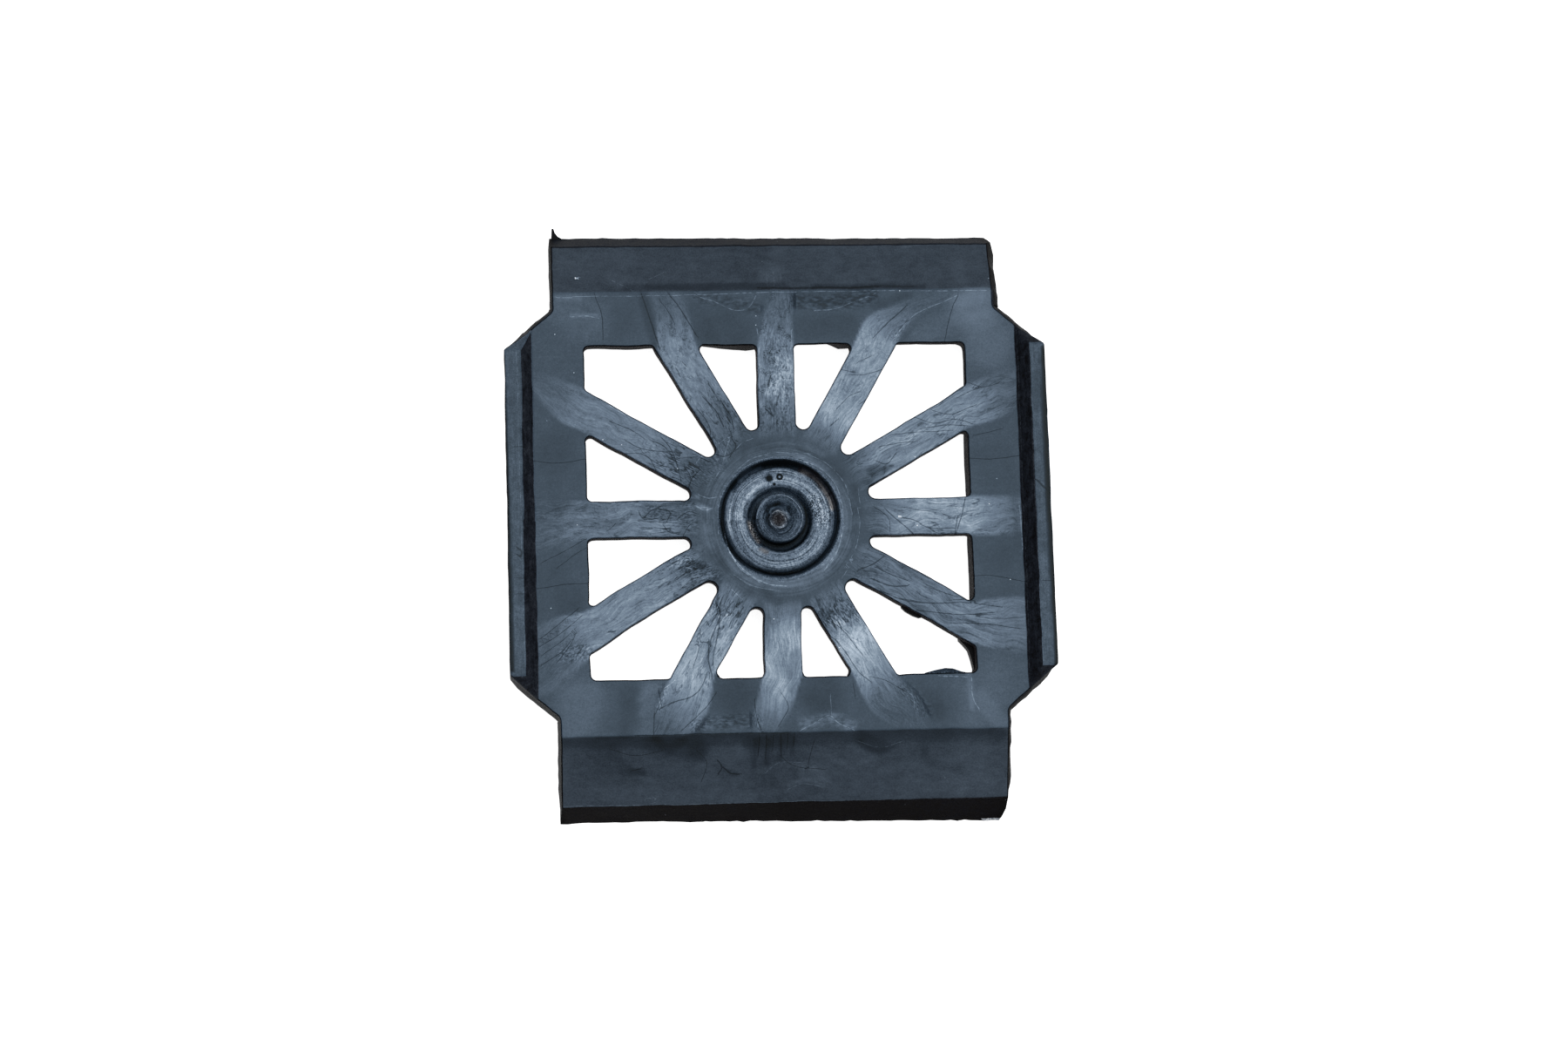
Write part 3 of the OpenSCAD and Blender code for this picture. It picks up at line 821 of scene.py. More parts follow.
index = [FINISHES.index(finish_of(p.center / MM, p.normal)) for p in pad.data.polygons]
for name in FINISHES:
    pad.data.materials.append(bpy.data.materials.new(name))
pad.data.polygons.foreach_set("material_index", index)
print({name: index.count(i) for i, name in enumerate(FINISHES)})

# %% [markdown]
# A moulding is never quite true. A gentle noise pushes every point sideways by
# a tenth of a millimetre, which is enough to make the outlines look cut and
# pulled rather than drawn. It moves top and bottom alike, so walls stay whole.


# %% Outline out of true
def wander(p, size, seed):
    """A smooth random push in X and Y, up to about 1 each way."""
    q = Vector((p[0] / size, p[1] / size, seed))
    return np.array((noise.noise(q), noise.noise(q + Vector((31.7, 8.3, 0)))))


top = np.array([surface(*p) for p in flat_place])
toe = np.clip(1 - z / 11, 0, 1)
ragged = np.array([wander(p, 2.6, 9.0) + 0.6 * wander(p, 1.1, 5.0) for p in co])
shake = np.array([0.20 * wander(p, 7.0, 1.5) + 0.10 * wander(p, 2.2, 4.5) for p in co])
moved = co.copy()
moved[:, :2] += shake * (hub_distance > RING_R)[:, None]

# Toes: the far one reaches out at its left, the near one at its right
far_toe, near_toe = y > FAR_FOLD + 15.5, y < NEAR_FOLD - 20.5
moved[:, 1] += far_toe * toe * (0.85 * ease(60, -60, x) + 0.15 * ragged[:, 1] + 0.15)
moved[:, 1] -= near_toe * toe * (2.4 * np.clip((x + 45) / 110, 0, 1) + 0.3 * ragged[:, 1])
moved[:, 0] -= near_toe * toe ** 2 * 2.0 * ease(65.5, 69.2, x)
print("toes reach", moved[:, 1].min().round(1), "and", moved[:, 1].max().round(1), "mm")

# %% [markdown]
# Flash that was trimmed at the aprons' sides and at the corner cuts left a thin
# skirt there. It is part of the wall, so the wall's points are pushed outwards
# and nothing is added. All but the near left skirt start close under the top.

# %% Skirts of flash
# For each corner: how far the skirt stands out at the side and at the cut, in mm
SKIRTS = {(-1, 1): (0.6, 1.3), (1, 1): (2.2, 1.7), (-1, -1): (0.8, 0.6), (1, -1): (1.2, 1.2)}
# The way that a corner cut faces, and its distance from the seat's middle
CUT_WAY, CUT_OFF = (0.647, 0.762), 93.09
on_cut = np.abs(CUT_WAY[0] * off_x + CUT_WAY[1] * off_y - CUT_OFF) < 0.7
on_cut &= off_x > 69.3
on_side = (off_x > 68.6) & (off_y > 62) & ~on_cut
under_top = np.minimum(top, SEAT_Z) - z
at_toe = 1 - 0.6 * ease(84, 91, off_y)
at_bar = 1 - ease(81.5, 84.5, off_x)
for (sx, sy), (at_side, at_cut) in SKIRTS.items():
    here = (np.sign(x) == sx) & (np.sign(y - MID_Y) == sy)
    sunk = ease(1.0, 9.0, under_top) if (sx, sy) == (-1, -1) else ease(0.2, 2.6, under_top)
    out = sunk * (1 + 0.25 * ragged[:, 0])
    moved[:, 0] += sx * at_side * out * at_toe * (here & on_side)
    out = out * at_bar * (here & on_cut)
    moved[:, 0] += sx * CUT_WAY[0] * at_cut * out
    moved[:, 1] += sy * CUT_WAY[1] * at_cut * out
print("points on a skirt:", int((on_side | on_cut).sum()))

# %% [markdown]
# Rubber shrinks as it cools and is pulled out of the mould warm. So the far
# walls of the windows lean back under the frame, and each spoke stands a little
# off its line. The stump, where the gate was torn off, gets a rough face.

# %% Windows and spokes out of line
FIELD_FAR, FIELD_SIDE, FIELD_NEAR = 54.8, 59.7, -49.2
deep = ease(0.3, 9.5, SEAT_Z - z)


def hold(value, edge):
    """1 on an edge, 0 well before it, and a slow fall beyond, so no face folds over."""
    return ease(edge - 1.8, edge - 0.3, value) * (1 - ease(edge + 0.4, edge + 7, value))


lean = np.interp(x, (-63, -58, -42, -24, -8, 5, 17, 21, 39, 58, 63),
                 (0, 1.1, 0.9, 1.7, 0.1, 2.2, 2.1, 0.3, 1.4, 1.4, 0))
moved[:, 1] += lean * deep * hold(y, FIELD_FAR)
lean = np.interp(y, (-50, 8, 30, 34, 54, 58), (0, 0.15, 0.15, 1.0, 1.0, 0))
moved[:, 0] += lean * deep * hold(x, FIELD_SIDE)
moved[:, 1] -= 0.3 * (np.abs(y - FIELD_NEAR) < 0.5) * (off_x < 24)

# Each spoke stands a little off its line, in mm clockwise at its middle
OFF_LINE = (0.15, 0.30, 0.05, -0.05, 0.15, -0.15, 0.40, 0.95, 0.40, 0.35, 0.45, -0.40)
nearest = np.round(around / (math.pi / 6)).astype(int)
beside = np.abs(hub_distance * np.sin(around - nearest * math.pi / 6))
weight = ease(22, 38, hub_distance) * (1 - ease(56, 70, hub_distance)) * (1 - ease(6.2, 8.5, beside))
weight *= np.array(OFF_LINE)[nearest % 12] / np.maximum(hub_distance, 1)
moved[:, 0] += weight * y
moved[:, 1] -= weight * x

# The stump at the gate is torn
stump = hub_distance < 3.0
torn = np.array([wander(p, 0.9, 2.0)[0] for p in co[stump]])
moved[stump, 2] += 0.5 * torn * (z[stump] > 10)

pad.data.vertices.foreach_set("co", (moved * MM).ravel())
pad.data.update()
only(pad)
bpy.ops.object.shade_smooth_by_angle(angle=math.radians(32))
report(pad, "outline out of true")

# %% [markdown]
# The finish is built from effects that several skins share, so each is a node
# group: streaks that run with the flow, a net of cracks, blotches, specks and
# turning marks. All of them put out plain values, and each skin mixes them in
# its own shares.
#
# A long sum is hard to read as a chain of nodes. So an output of a node is
# wrapped as a value, and adding or multiplying two of them adds the node that
# does it. The node tree that results is the same.


# %% Values that add their own nodes
class Value:
    """An output of a node. Arithmetic on it adds nodes to its tree."""

    def __init__(self, socket):
        self.socket, self.tree = socket, socket.id_data

    def step(self, operation, *others):
        """One Math node, fed with this value and up to two more."""
        return node(self.tree, "Math", dict(enumerate((self, *others))), operation=operation)[0]

    def __add__(self, other):
        return self.step("ADD", other)

    def __sub__(self, other):
        return self.step("SUBTRACT", other)

    def __mul__(self, other):
        return self.step("MULTIPLY", other)

    def __truediv__(self, other):
        return self.step("DIVIDE", other)

    def __rtruediv__(self, other):
        return node(self.tree, "Math", {0: other, 1: self}, operation="DIVIDE")[0]

    def __abs__(self):
        return self.step("ABSOLUTE")

    def vector(self, operation, *others, output=0):
        """One Vector Math node."""
        links = dict(enumerate((self, *others)))
        return node(self.tree, "VectorMath", links, operation=operation)[output]

    def parts(self):
        """The X, Y and Z of a vector."""
        split = node(self.tree, "SeparateXYZ", {0: self})
        return split[0], split[1], split[2]

    def fit(self, low, high, new_low=0.0, new_high=1.0, kind="LINEAR"):
        """The value mapped from one range to another, and held inside."""
        links = {0: self, 1: low, 2: high, 3: new_low, 4: new_high}
        return node(self.tree, "MapRange", links, interpolation_type=kind)[0]

    def noise(self, scale, detail, roughness=0.5, distortion=0.0):
        """Smooth noise from 0 to 1 at this place."""
        return node(self.tree, "TexNoise", {"Vector": self, "Scale": scale, "Detail": detail,
                                            "Roughness": roughness, "Distortion": distortion})[0]


# %% Helpers for nodes
def feed(inputs, links):
    """Link or set inputs by name or number."""
    for key, value in links.items():
        if isinstance(value, Value):
            value.tree.links.new(value.socket, inputs[key])
        else:
            inputs[key].default_value = value


def node(tree, kind, links=None, **settings):
    """Add a node, set its properties and inputs, and return its outputs as
    values by number and by name."""
    n = tree.nodes.new("ShaderNode" + kind)
    for key, value in settings.items():
        setattr(n, key, value)
    feed(n.inputs, links or {})
    return {key: Value(s) for i, s in enumerate(n.outputs) for key in (s.name, i)}


def join(x, y, z):
    """A vector from three values or numbers, of which the first is a value."""
    return node(x.tree, "CombineXYZ", {0: x, 1: y, 2: z})[0]


def total(base, *shares):
    """A base value plus any number of values, each times its amount."""
    for value, amount in shares:
        base = value.step("MULTIPLY_ADD", amount, base)
    return base


def ramp(value, stops):
    """A colour ramp over a value, from colours by position."""
    n = value.tree.nodes.new("ShaderNodeValToRGB")
    feed(n.inputs, {0: value})
    elements = n.color_ramp.elements
    for i, (position, colour) in enumerate(stops.items()):
        stop = elements[i] if i < 2 else elements.new(position)
        stop.position, stop.color = position, (*colour, 1)
    return Value(n.outputs[0])


def group(name, inputs, outputs):
    """A new node group. Inputs and outputs are default values by name: a number,
    three for a vector, or four for a colour."""
    tree = bpy.data.node_groups.new(name, "ShaderNodeTree")
    for direction, sockets in (("INPUT", inputs), ("OUTPUT", outputs)):
        for label, default in sockets.items():
            kind = {3: "Vector", 4: "Color"}[len(default)] if isinstance(default, tuple) else "Float"
            s = tree.interface.new_socket(label, in_out=direction, socket_type="NodeSocket" + kind)
            s.default_value = default
    given = {s.name: Value(s) for s in tree.nodes.new("NodeGroupInput").outputs if s.name}
    print("group", name, "puts out", *outputs)
    return tree, given, tree.nodes.new("NodeGroupOutput").inputs


def use(shared, **links):
    """Put a node group into the tree of the values that feed it."""
    tree = next(v.tree for v in links.values() if isinstance(v, Value))
    return node(tree, "Group", links, node_tree=shared)


# %% [markdown]
# A streak is noise that is drawn out: the place is divided by a long length
# along the flow and by a small width across it, and bent a little first.

# %% Group: streaks along the flow
ORIGIN = (0.0, 0.0, 0.0)
streaks, given, out = group(
    "flow_streaks", {"Flow": ORIGIN, "Length": 9.0, "Width": 0.7, "Detail": 4.0}, {"Streak": 0.0})
run, side, seed = given["Flow"].parts()
bend = (given["Flow"].noise(0.09, 1.0) - 0.5) * 9.0
drawn = join(run / given["Length"], (side + bend) / given["Width"], seed)
feed(out, {"Streak": drawn.noise(1.0, given["Detail"], roughness=0.6).fit(0.3, 0.7, -1.0)})

# %% [markdown]
# A crack runs where a smooth noise passes through its middle value, and one lip
# of it catches the light. A second, slower noise says where the net shows.

# %% Group: a net of fine cracks
cracks, given, out = group(
    "crack_net", {"Place": ORIGIN, "Size": 3.0, "Width": 0.02, "Cover": 0.5,
                  "Stretch": (0.2, 1.0, 1.0)}, {"Crack": 0.0, "Lip": 0.0})
pulled = given["Place"].vector("MULTIPLY", given["Stretch"])
middle = pulled.noise(1.0 / given["Size"], 3.0, roughness=0.55, distortion=0.9) - 0.5
beside_it = total(middle, (given["Width"], -2.2))
crack, lip = (abs(v).fit(0.0, given["Width"], 1.0, 0.0) for v in (middle, beside_it))
limit = total(1.0, (given["Cover"], -1.0))
cracked_here = given["Place"].noise(0.3, 2.0).fit(0.28, 0.72).fit(limit, limit + 0.15)
feed(out, {"Crack": crack * cracked_here, "Lip": lip * cracked_here})

# %% [markdown]
# Blotches, specks and grain are one kind of noise at three sizes. The white
# flecks of dust are rare cells of a cell texture, each with a dot in it.

# %% Group: blotches and specks
blotches, given, out = group(
    "blotches", {"Place": ORIGIN, "Size": 3.0, "Speck": 0.35},
    {"Blotch": 0.0, "Specks": 0.0, "Grain": 0.0, "White": 0.0})
place, soft_scale, dot_scale = given["Place"], 1.0 / given["Size"], 1.0 / given["Speck"]
cells = node(blotches, "TexVoronoi", {"Vector": place, "Scale": 0.35})
few = node(blotches, "SeparateColor", {0: cells["Color"]})[0].fit(0.93, 0.94)
feed(out, {
    "Blotch": place.noise(soft_scale, 5.0, roughness=0.65, distortion=0.6).fit(0.32, 0.68, -1.0),
    "Specks": place.noise(dot_scale, 2.0).fit(0.35, 0.65, -1.0),
    "Grain": place.noise(3.4, 2.0).fit(0.3, 0.7, -1.0),
    "White": few * cells["Distance"].fit(0.05, 0.075, 1.0, 0.0)})

# %% [markdown]
# A line is drawn where the distance that the points carry is less than a half
# width. Noise varies that width, so a line swells, thins and breaks off.

# %% Group: thin lines
thin_lines, given, out = group(
    "thin_lines", {"Gaps": ORIGIN, "Place": ORIGIN, "Thinnest": 0.5}, {"Line": 0.0})
first, second, third = (abs(gap) for gap in given["Gaps"].parts())
least = first.step("MINIMUM", second).step("MINIMUM", third)
edge = given["Place"].noise(0.9, 3.0).fit(0.3, 0.7, given["Thinnest"], 1.3).step("MAXIMUM", 0.03)
feed(out, {"Line": least.fit(edge * 0.45, edge, 1.0, 0.0, "SMOOTHSTEP")})

# %% [markdown]
# The mould's hub was turned on a lathe and left fine rings. They are noise over
# the distance from the middle, and a slow wobble keeps them from being perfect.

# %% Group: turning marks round the hub
turning, given, out = group("turning_marks", {"Place": ORIGIN, "Pitch": 0.5}, {"Ring": 0.0})
across, away, _ = given["Place"].parts()
radius = join(across, away, 0.0).vector("LENGTH", output=1)
wobble = given["Place"].noise(0.07, 1.0) * 1.2
turn = away.step("ARCTAN2", across) * 0.5
rings = join((radius + wobble) / given["Pitch"], turn, 3.0).noise(1.0, 3.0)
feed(out, {"Ring": rings.fit(0.3, 0.7, -1.0)})

# %% [markdown]
# The rubber's colour follows from its lightness alone, from near black to a
# pale grey-blue, and a second ramp is warmer, for brownish places and torn
# edges. The rubber is black, and the grey-blue is painted sheen, the overhead
# light as it reflects in it. The lightness is the one that the eye should see on
# a face that looks up, so what the rendered reflection adds is taken off first.

# %% Group: slate colour of a lightness
# Screen colours at screen values
slate, given, out = group("slate_colour", {"Lightness": 0.3, "Brown": 0.0},
                          {"Colour": (0.05, 0.07, 0.09, 1.0)})
SLATE = {0: (6, 9, 10), 24: (18, 24, 28), 54: (47, 57, 67), 77: (68, 81, 94), 122: (110, 126, 144),
         145: (132, 149, 166), 200: (189, 204, 219), 255: (245, 250, 255)}
BROWN = {0: (8, 7, 6), 40: (46, 41, 37), 90: (100, 92, 84), 200: (222, 206, 186)}
# The rubber's rendered reflection is bluish, and adds this light to a face that looks up
TINT = (0.75, 0.92, 1.0)
SHINE = tuple(0.020 * c for c in TINT)


def linear(byte):
    """A screen value from 0 to 255 as light from 0 to 1."""
    v = byte / 255
    return v / 12.92 if v < 0.04045 else ((v + 0.055) / 1.055) ** 2.4


def without_shine(colour):
    """A screen colour as light, less what the reflection adds."""
    return tuple(max(linear(c) - s, 0.25 * linear(c)) for c, s in zip(colour, SHINE))


cool, warm = (ramp(given["Lightness"], {at / 255: without_shine(c) for at, c in stops.items()})
              for stops in (SLATE, BROWN))
blend = node(slate, "Mix", {0: given["Brown"], 6: cool, 7: warm}, data_type="RGBA")
feed(out, {"Colour": blend[2]})
print("node groups:", [g.name for g in bpy.data.node_groups])

# %% [markdown]
# Now the skins. They share one set of steps: take the place on the pad in mm,
# add up the lightness from a base value and the effects, and turn it into
# slate. The same values, in smaller shares, drive roughness and a fine bump.


# %% Steps that every skin shares
def open_skin(name, shine):
    """Start a material and return its shader and the place in mm."""
    material = bpy.data.materials.get(name) or bpy.data.materials.new(name)
    material.use_nodes = True
    shader = material.node_tree.nodes["Principled BSDF"]
    feed(shader.inputs, {"Specular IOR Level": shine, "Specular Tint": (*TINT, 1)})
    place = node(material.node_tree, "TexCoord")["Object"]
    return shader, place.vector("MULTIPLY", (1 / MM,) * 3)


def close_skin(shader, lightness, height, rough, relief, brown=0.0):
    """Feed colour, roughness and bump from a lightness and a height."""
    bump = {"Height": height, "Strength": 1.0, "Distance": relief * MM}
    feed(shader.inputs, {
        "Base Color": use(slate, Lightness=lightness, Brown=brown)["Colour"],
        "Roughness": height.fit(-1.0, 1.0, *rough),
        "Normal": node(height.tree, "Bump", bump)[0]})


def carried(mm, name, part="Fac"):
    """A value that the mesh's points carry, or a vector."""
    return node(mm.tree, "Attribute", attribute_name=name, attribute_type="GEOMETRY")[part]


def ruled(mm, lightness, dark_share=0.40, light_share=0.17):
    """Draw the dark and the light lines over a lightness."""
    dark = use(thin_lines, Gaps=carried(mm, "dark_lines", "Vector"), Place=mm)["Line"]
    light = use(thin_lines, Gaps=carried(mm, "light_lines", "Vector"), Place=mm,
                Thinnest=-0.3)["Line"]
    kept = total(1.0, (dark, -dark_share))
    return total(lightness * kept, (light, light_share)), dark


# %% [markdown]
# The seat, the spokes and the hub take every effect. How much of each a place
# gets comes from its tongue, through the values that the points carry.

# %% Skin of the seat, the spokes and the hub
shader, mm = open_skin("seat_skin", 0.2)
flow_at = carried(mm, "flow", "Vector")
how_streaky, how_cracked, how_mottled = carried(mm, "habit", "Vector").parts()
streak = use(streaks, Flow=flow_at, Length=11.0, Width=0.4)["Streak"]
broad = use(streaks, Flow=flow_at, Length=14.0, Width=2.6, Detail=1.5)["Streak"]
net = use(cracks, Place=flow_at, Size=3.0, Width=0.03, Cover=0.66)
fine_net = use(cracks, Place=mm, Size=1.5, Width=0.05, Cover=0.5, Stretch=(0.8, 1.0, 1.0))
mottle = use(blotches, Place=flow_at.vector("MULTIPLY", (0.45, 1.0, 1.0)), Size=1.1, Speck=0.42)
patch = use(blotches, Place=mm, Size=13.0, Speck=0.8)
cloud = use(blotches, Place=mm, Size=3.4, Speck=0.5)
ring = use(turning, Place=mm, Pitch=0.6)["Ring"]
swirl = use(turning, Place=mm.vector("ADD", (-2.2, 1.4, 0.0)), Pitch=1.1)["Ring"]
from_hub = mm.vector("MULTIPLY", (1.0, 1.0, 0.0)).vector("LENGTH", output=1)
round_hub = from_hub.fit(22.0, 26.5, 1.0, 0.0, "SMOOTHSTEP")

# The lightness is painted sheen, the overhead light reflected in black rubber; the tone and the broad
# streaks make it follow the flow. Cracks and specks are marks in the rubber itself.
streaky = streak * how_streaky
cracked = net["Crack"] * how_cracked
mottled = mottle["Blotch"] * how_mottled
speckly = mottle["Specks"] * carried(mm, "speckle")
ringed = ring * round_hub
texture = total(
    1.0, (streaky, 0.17), (broad * how_streaky, 0.15), (mottled, 0.15), (cracked, -0.60),
    (net["Lip"] * how_cracked, 0.26), (fine_net["Crack"] * how_mottled, -0.30),
    (patch["Blotch"], 0.045), (cloud["Blotch"], 0.02), (patch["Specks"], 0.03),
    (patch["Grain"], 0.06), (ringed, 0.12), (swirl * round_hub, 0.13),
    (cloud["Blotch"] * round_hub, 0.08), (speckly, 0.22))
lightness, dark = ruled(mm, total(0.300, (carried(mm, "tone"), 1.0)) * texture)
lightness = total(lightness, (patch["White"], 0.5))
height = total(0.0, (streaky, 0.35), (mottled, 0.4), (cracked, -1.0), (speckly, 0.6),
               (patch["Grain"], 0.1), (dark, -0.6), (ringed, 0.25))
close_skin(shader, lightness, height, (0.42, 0.58), 0.05)
print("seat skin:", len(mm.tree.nodes), "nodes")

# %% [markdown]
# The other faces have no flow marks, and differ only in how dark, how blotched
# and how dull they are. How dark each is, is painted light: the bars and the
# aprons carry a painted sheen like the seat's, less on the sloping aprons, and
# edges, steep faces, the ends and the walls, which turn away from the overhead
# light, are painted shade. One function makes them all.


# %% Skins of the bars, the aprons and the steep faces
def plain_skin(name, base, shine, blotch_size, shares, rough, relief, drawn=(0.3, 0.4), brown=0.0,
               lined=True):
    """A skin of blotches, drawn marks, specks and grain, without the flow marks."""
    shader, mm = open_skin(name, shine)
    blotch = use(blotches, Place=mm, Size=blotch_size, Speck=0.5)
    brushed = mm.vector("MULTIPLY", (*drawn, 1.0)).noise(1.0, 5.0, roughness=0.65)
    parts = (blotch["Blotch"], brushed.fit(0.3, 0.7, -1.0), blotch["Specks"], blotch["Grain"])
    lightness = total(base / 255, (carried(mm, "tone"), 1.0)) * total(1.0, *zip(parts, shares))
    height = total(0.0, *zip(parts, (0.3, 0.4, 0.3, 0.3)))
    if lined:
        lightness, dark = ruled(mm, lightness, light_share=0.09)
        lightness = total(lightness, (blotch["White"], 0.3))
        height = total(height, (dark, -0.6))
    close_skin(shader, lightness, height, rough, relief, brown)


# Base lightness: painted sheen on the bars and the aprons, painted shade on the edges, steep faces, ends
# and walls
plain_skin("bar_skin", 78, 0.2, 3.0, (0.12, 0.10, 0.08, 0.08), (0.4, 0.52), 0.03, (1.5, 0.15))
plain_skin("apron_skin", 66, 0.18, 7.0, (0.06, 0.07, 0.06, 0.05), (0.45, 0.6), 0.04, (0.25, 0.5), 0.10)
plain_skin("edge_skin", 32, 0.02, 2.0, (0.25, 0.1, 0.1, 0.1), (0.5, 0.6), 0.03)
plain_skin("steep_skin", 43, 0.06, 3.0, (0.3, 0.22, 0.16, 0.10), (0.5, 0.7), 0.05, (0.5, 0.12), 0.26)
plain_skin("strip_skin", 37, 0.01, 3.0, (0.10, 0.08, 0.05, 0.03), (0.5, 0.7), 0.02, (0.3, 0.5), 0.2)
plain_skin("toe_skin", 24, 0.02, 3.0, (0.15, 0.1, 0.15, 0.1), (0.6, 0.8), 0.05, (0.5, 0.5), 0.35)
plain_skin("wall_skin", 36, 0.035, 3.0, (0.2, 0.12, 0.12, 0.1), (0.5, 0.7), 0.05, (0.5, 0.5), 0.2)
plain_skin("window_wall", 34, 0.03, 1.6, (0.3, 0.1, 0.3, 0.2), (0.6, 0.8), 0.08, (0.5, 0.5), 0.6)
plain_skin("underside", 52, 0.2, 8.0, (0.12, 0.08, 0.05, 0.04), (0.45, 0.6), 0.05)
for name, base, brown_share in (("flash_dark", 22, 0.5), ("flash_slate", 60, 0.0),
                                ("flash_pale", 150, 0.3), ("fleck_white", 235, 0.0)):
    plain_skin(name, base, 0.1, 1.5, (0.3, 0.2, 0.3, 0.2), (0.5, 0.7), 0.05,
               brown=brown_share, lined=False)
print(len(bpy.data.materials), "materials")

# %% [markdown]
# The recess holds many narrow rings of light and dark, from its turned steps
# and from the light that falls into it. Their lightness was judged in four
# directions from the middle, and is blended by the angle in between.

# %% Skin of the recess
# Lightness by the distance from the hub's middle in pixels. Each direction is
# named by its axis and sign
RECESS_REACH = 80
RECESS = {
    (0, 1.0): {0: 58, 5: 60, 9.5: 96, 12: 58, 16: 66, 20: 80, 25: 82, 27.5: 84, 30: 16, 33: 40, 35: 36,
               37: 60, 40: 100, 43: 112, 47: 128, 53: 122, 56: 130, 58.5: 100, 62: 80, 64: 48, 66: 24,
               68: 38, 70: 88, 72: 100},
    (0, -1.0): {0: 56, 4: 52, 8: 48, 10.5: 82, 13.5: 34, 17: 54, 20: 84, 26: 86, 27.5: 94, 29: 56,
                31: 44, 34: 46, 37: 64, 39: 78, 41: 100, 43: 134, 50: 136, 53: 122, 56: 88, 59: 136,
                61: 112, 63: 66, 66: 24, 68: 13, 70: 50, 72: 88},
    (1, 1.0): {0: 58, 4: 40, 7: 84, 9.5: 96, 12: 16, 16: 44, 20: 62, 25: 76, 27.5: 104, 29.5: 56,
               33: 60, 36: 66, 40: 106, 42: 142, 47: 120, 53: 124, 56: 118, 58: 68, 60: 38, 62: 22,
               66: 14, 68: 34, 70: 86, 72: 90},
    (1, -1.0): {0: 58, 5: 56, 10: 90, 13: 46, 18: 64, 22: 68, 26: 74, 28: 34, 30: 12, 34: 26, 38: 38,
                40: 82, 42: 102, 46: 112, 54: 114, 56: 122, 58: 90, 60: 62, 62: 46, 64.5: 22, 66.5: 26,
                68.5: 68, 70: 96}}

shader, mm = open_skin("recess_skin", 0.06)
at_x, at_y, at_z = mm.parts()
# What lies deeper is seen shifted, so it is moved back to where the seat would show it
SHIFT_X, SHIFT_Y = 0.0955, 0.1405
sunk_mm = at_z - SEAT_Z
flat = join(total(at_x, (sunk_mm, SHIFT_X)), total(at_y, (sunk_mm, SHIFT_Y)), 0.0)
radius = total(flat.vector("LENGTH", output=1), (flat.noise(0.25, 2.0) - 0.5, 0.5))
reach = radius * (PX / RECESS_REACH)
ahead = flat.vector("NORMALIZE").parts()
weighed = 0.0
for (axis, sign), profile in RECESS.items():
    stops = {at / RECESS_REACH: (value / 255,) * 3 for at, value in profile.items()}
    grey = ramp(reach, stops)
    share = (ahead[axis] * sign).step("MAXIMUM", 0.0)
    weighed = total(weighed, (node(mm.tree, "SeparateColor", {0: grey})[0], share * share))

ring, wide = (use(turning, Place=mm, Pitch=pitch)["Ring"] for pitch in (0.34, 0.7))
blotch = use(blotches, Place=mm, Size=1.2, Speck=0.35)
torn_part = blotch["Blotch"] * radius.fit(2.6, 3.4, 1.0, 0.0)
texture = total(1.0, (ring, 0.30), (wide, 0.30), (blotch["Blotch"], 0.20), (blotch["Specks"], 0.22),
                (torn_part, 0.3))
speckly = blotch["Specks"] * carried(mm, "speckle")
lightness = total(weighed * texture, (carried(mm, "tone"), 1.0), (speckly, 0.22))
lightness, dark = ruled(mm, lightness, 0.6, 0.3)

# Three small marks on the floor: a dot, a ring and a pip. Each is a pixel, the ring's
# radius in mm and the half width of its line
FLOOR_MARKS = ((883.2, 549.4, 0.0, 1.4), (895, 547.6, 0.72, 0.42), (888.8, 556, 0.0, 0.6))
marked = 0.0
for px, py, ring_r, half in FLOOR_MARKS:
    away = mm.vector("DISTANCE", (*spot(px, py, RECESS_Z), RECESS_Z), output=1)
    marked = abs(away - ring_r).fit(0.5 * half, half, 1.0, 0.0).step("MAXIMUM", marked)
lightness = lightness * total(1.0, (marked, -0.92))
height = total(0.0, (ring, 0.5), (wide, 0.4), (blotch["Blotch"], 0.3), (dark, -0.5), (marked, -2.0))
close_skin(shader, lightness, height, (0.35, 0.5), 0.04, carried(mm, "brown"))
print("recess skin:", len(mm.tree.nodes), "nodes")

# %% [markdown]
# Flash is the thin web that squeezes out where the halves of a mould meet.
# Most of it was trimmed off this pad, but a horn, a spike and a few flaps are
# left. Each is an outline in pixels at a height, filled, and made as thick as
# it looks. Each reaches into the pad, so it sits on it from any side. Two pale
# crumbs that lie on the pad are made in the same way.

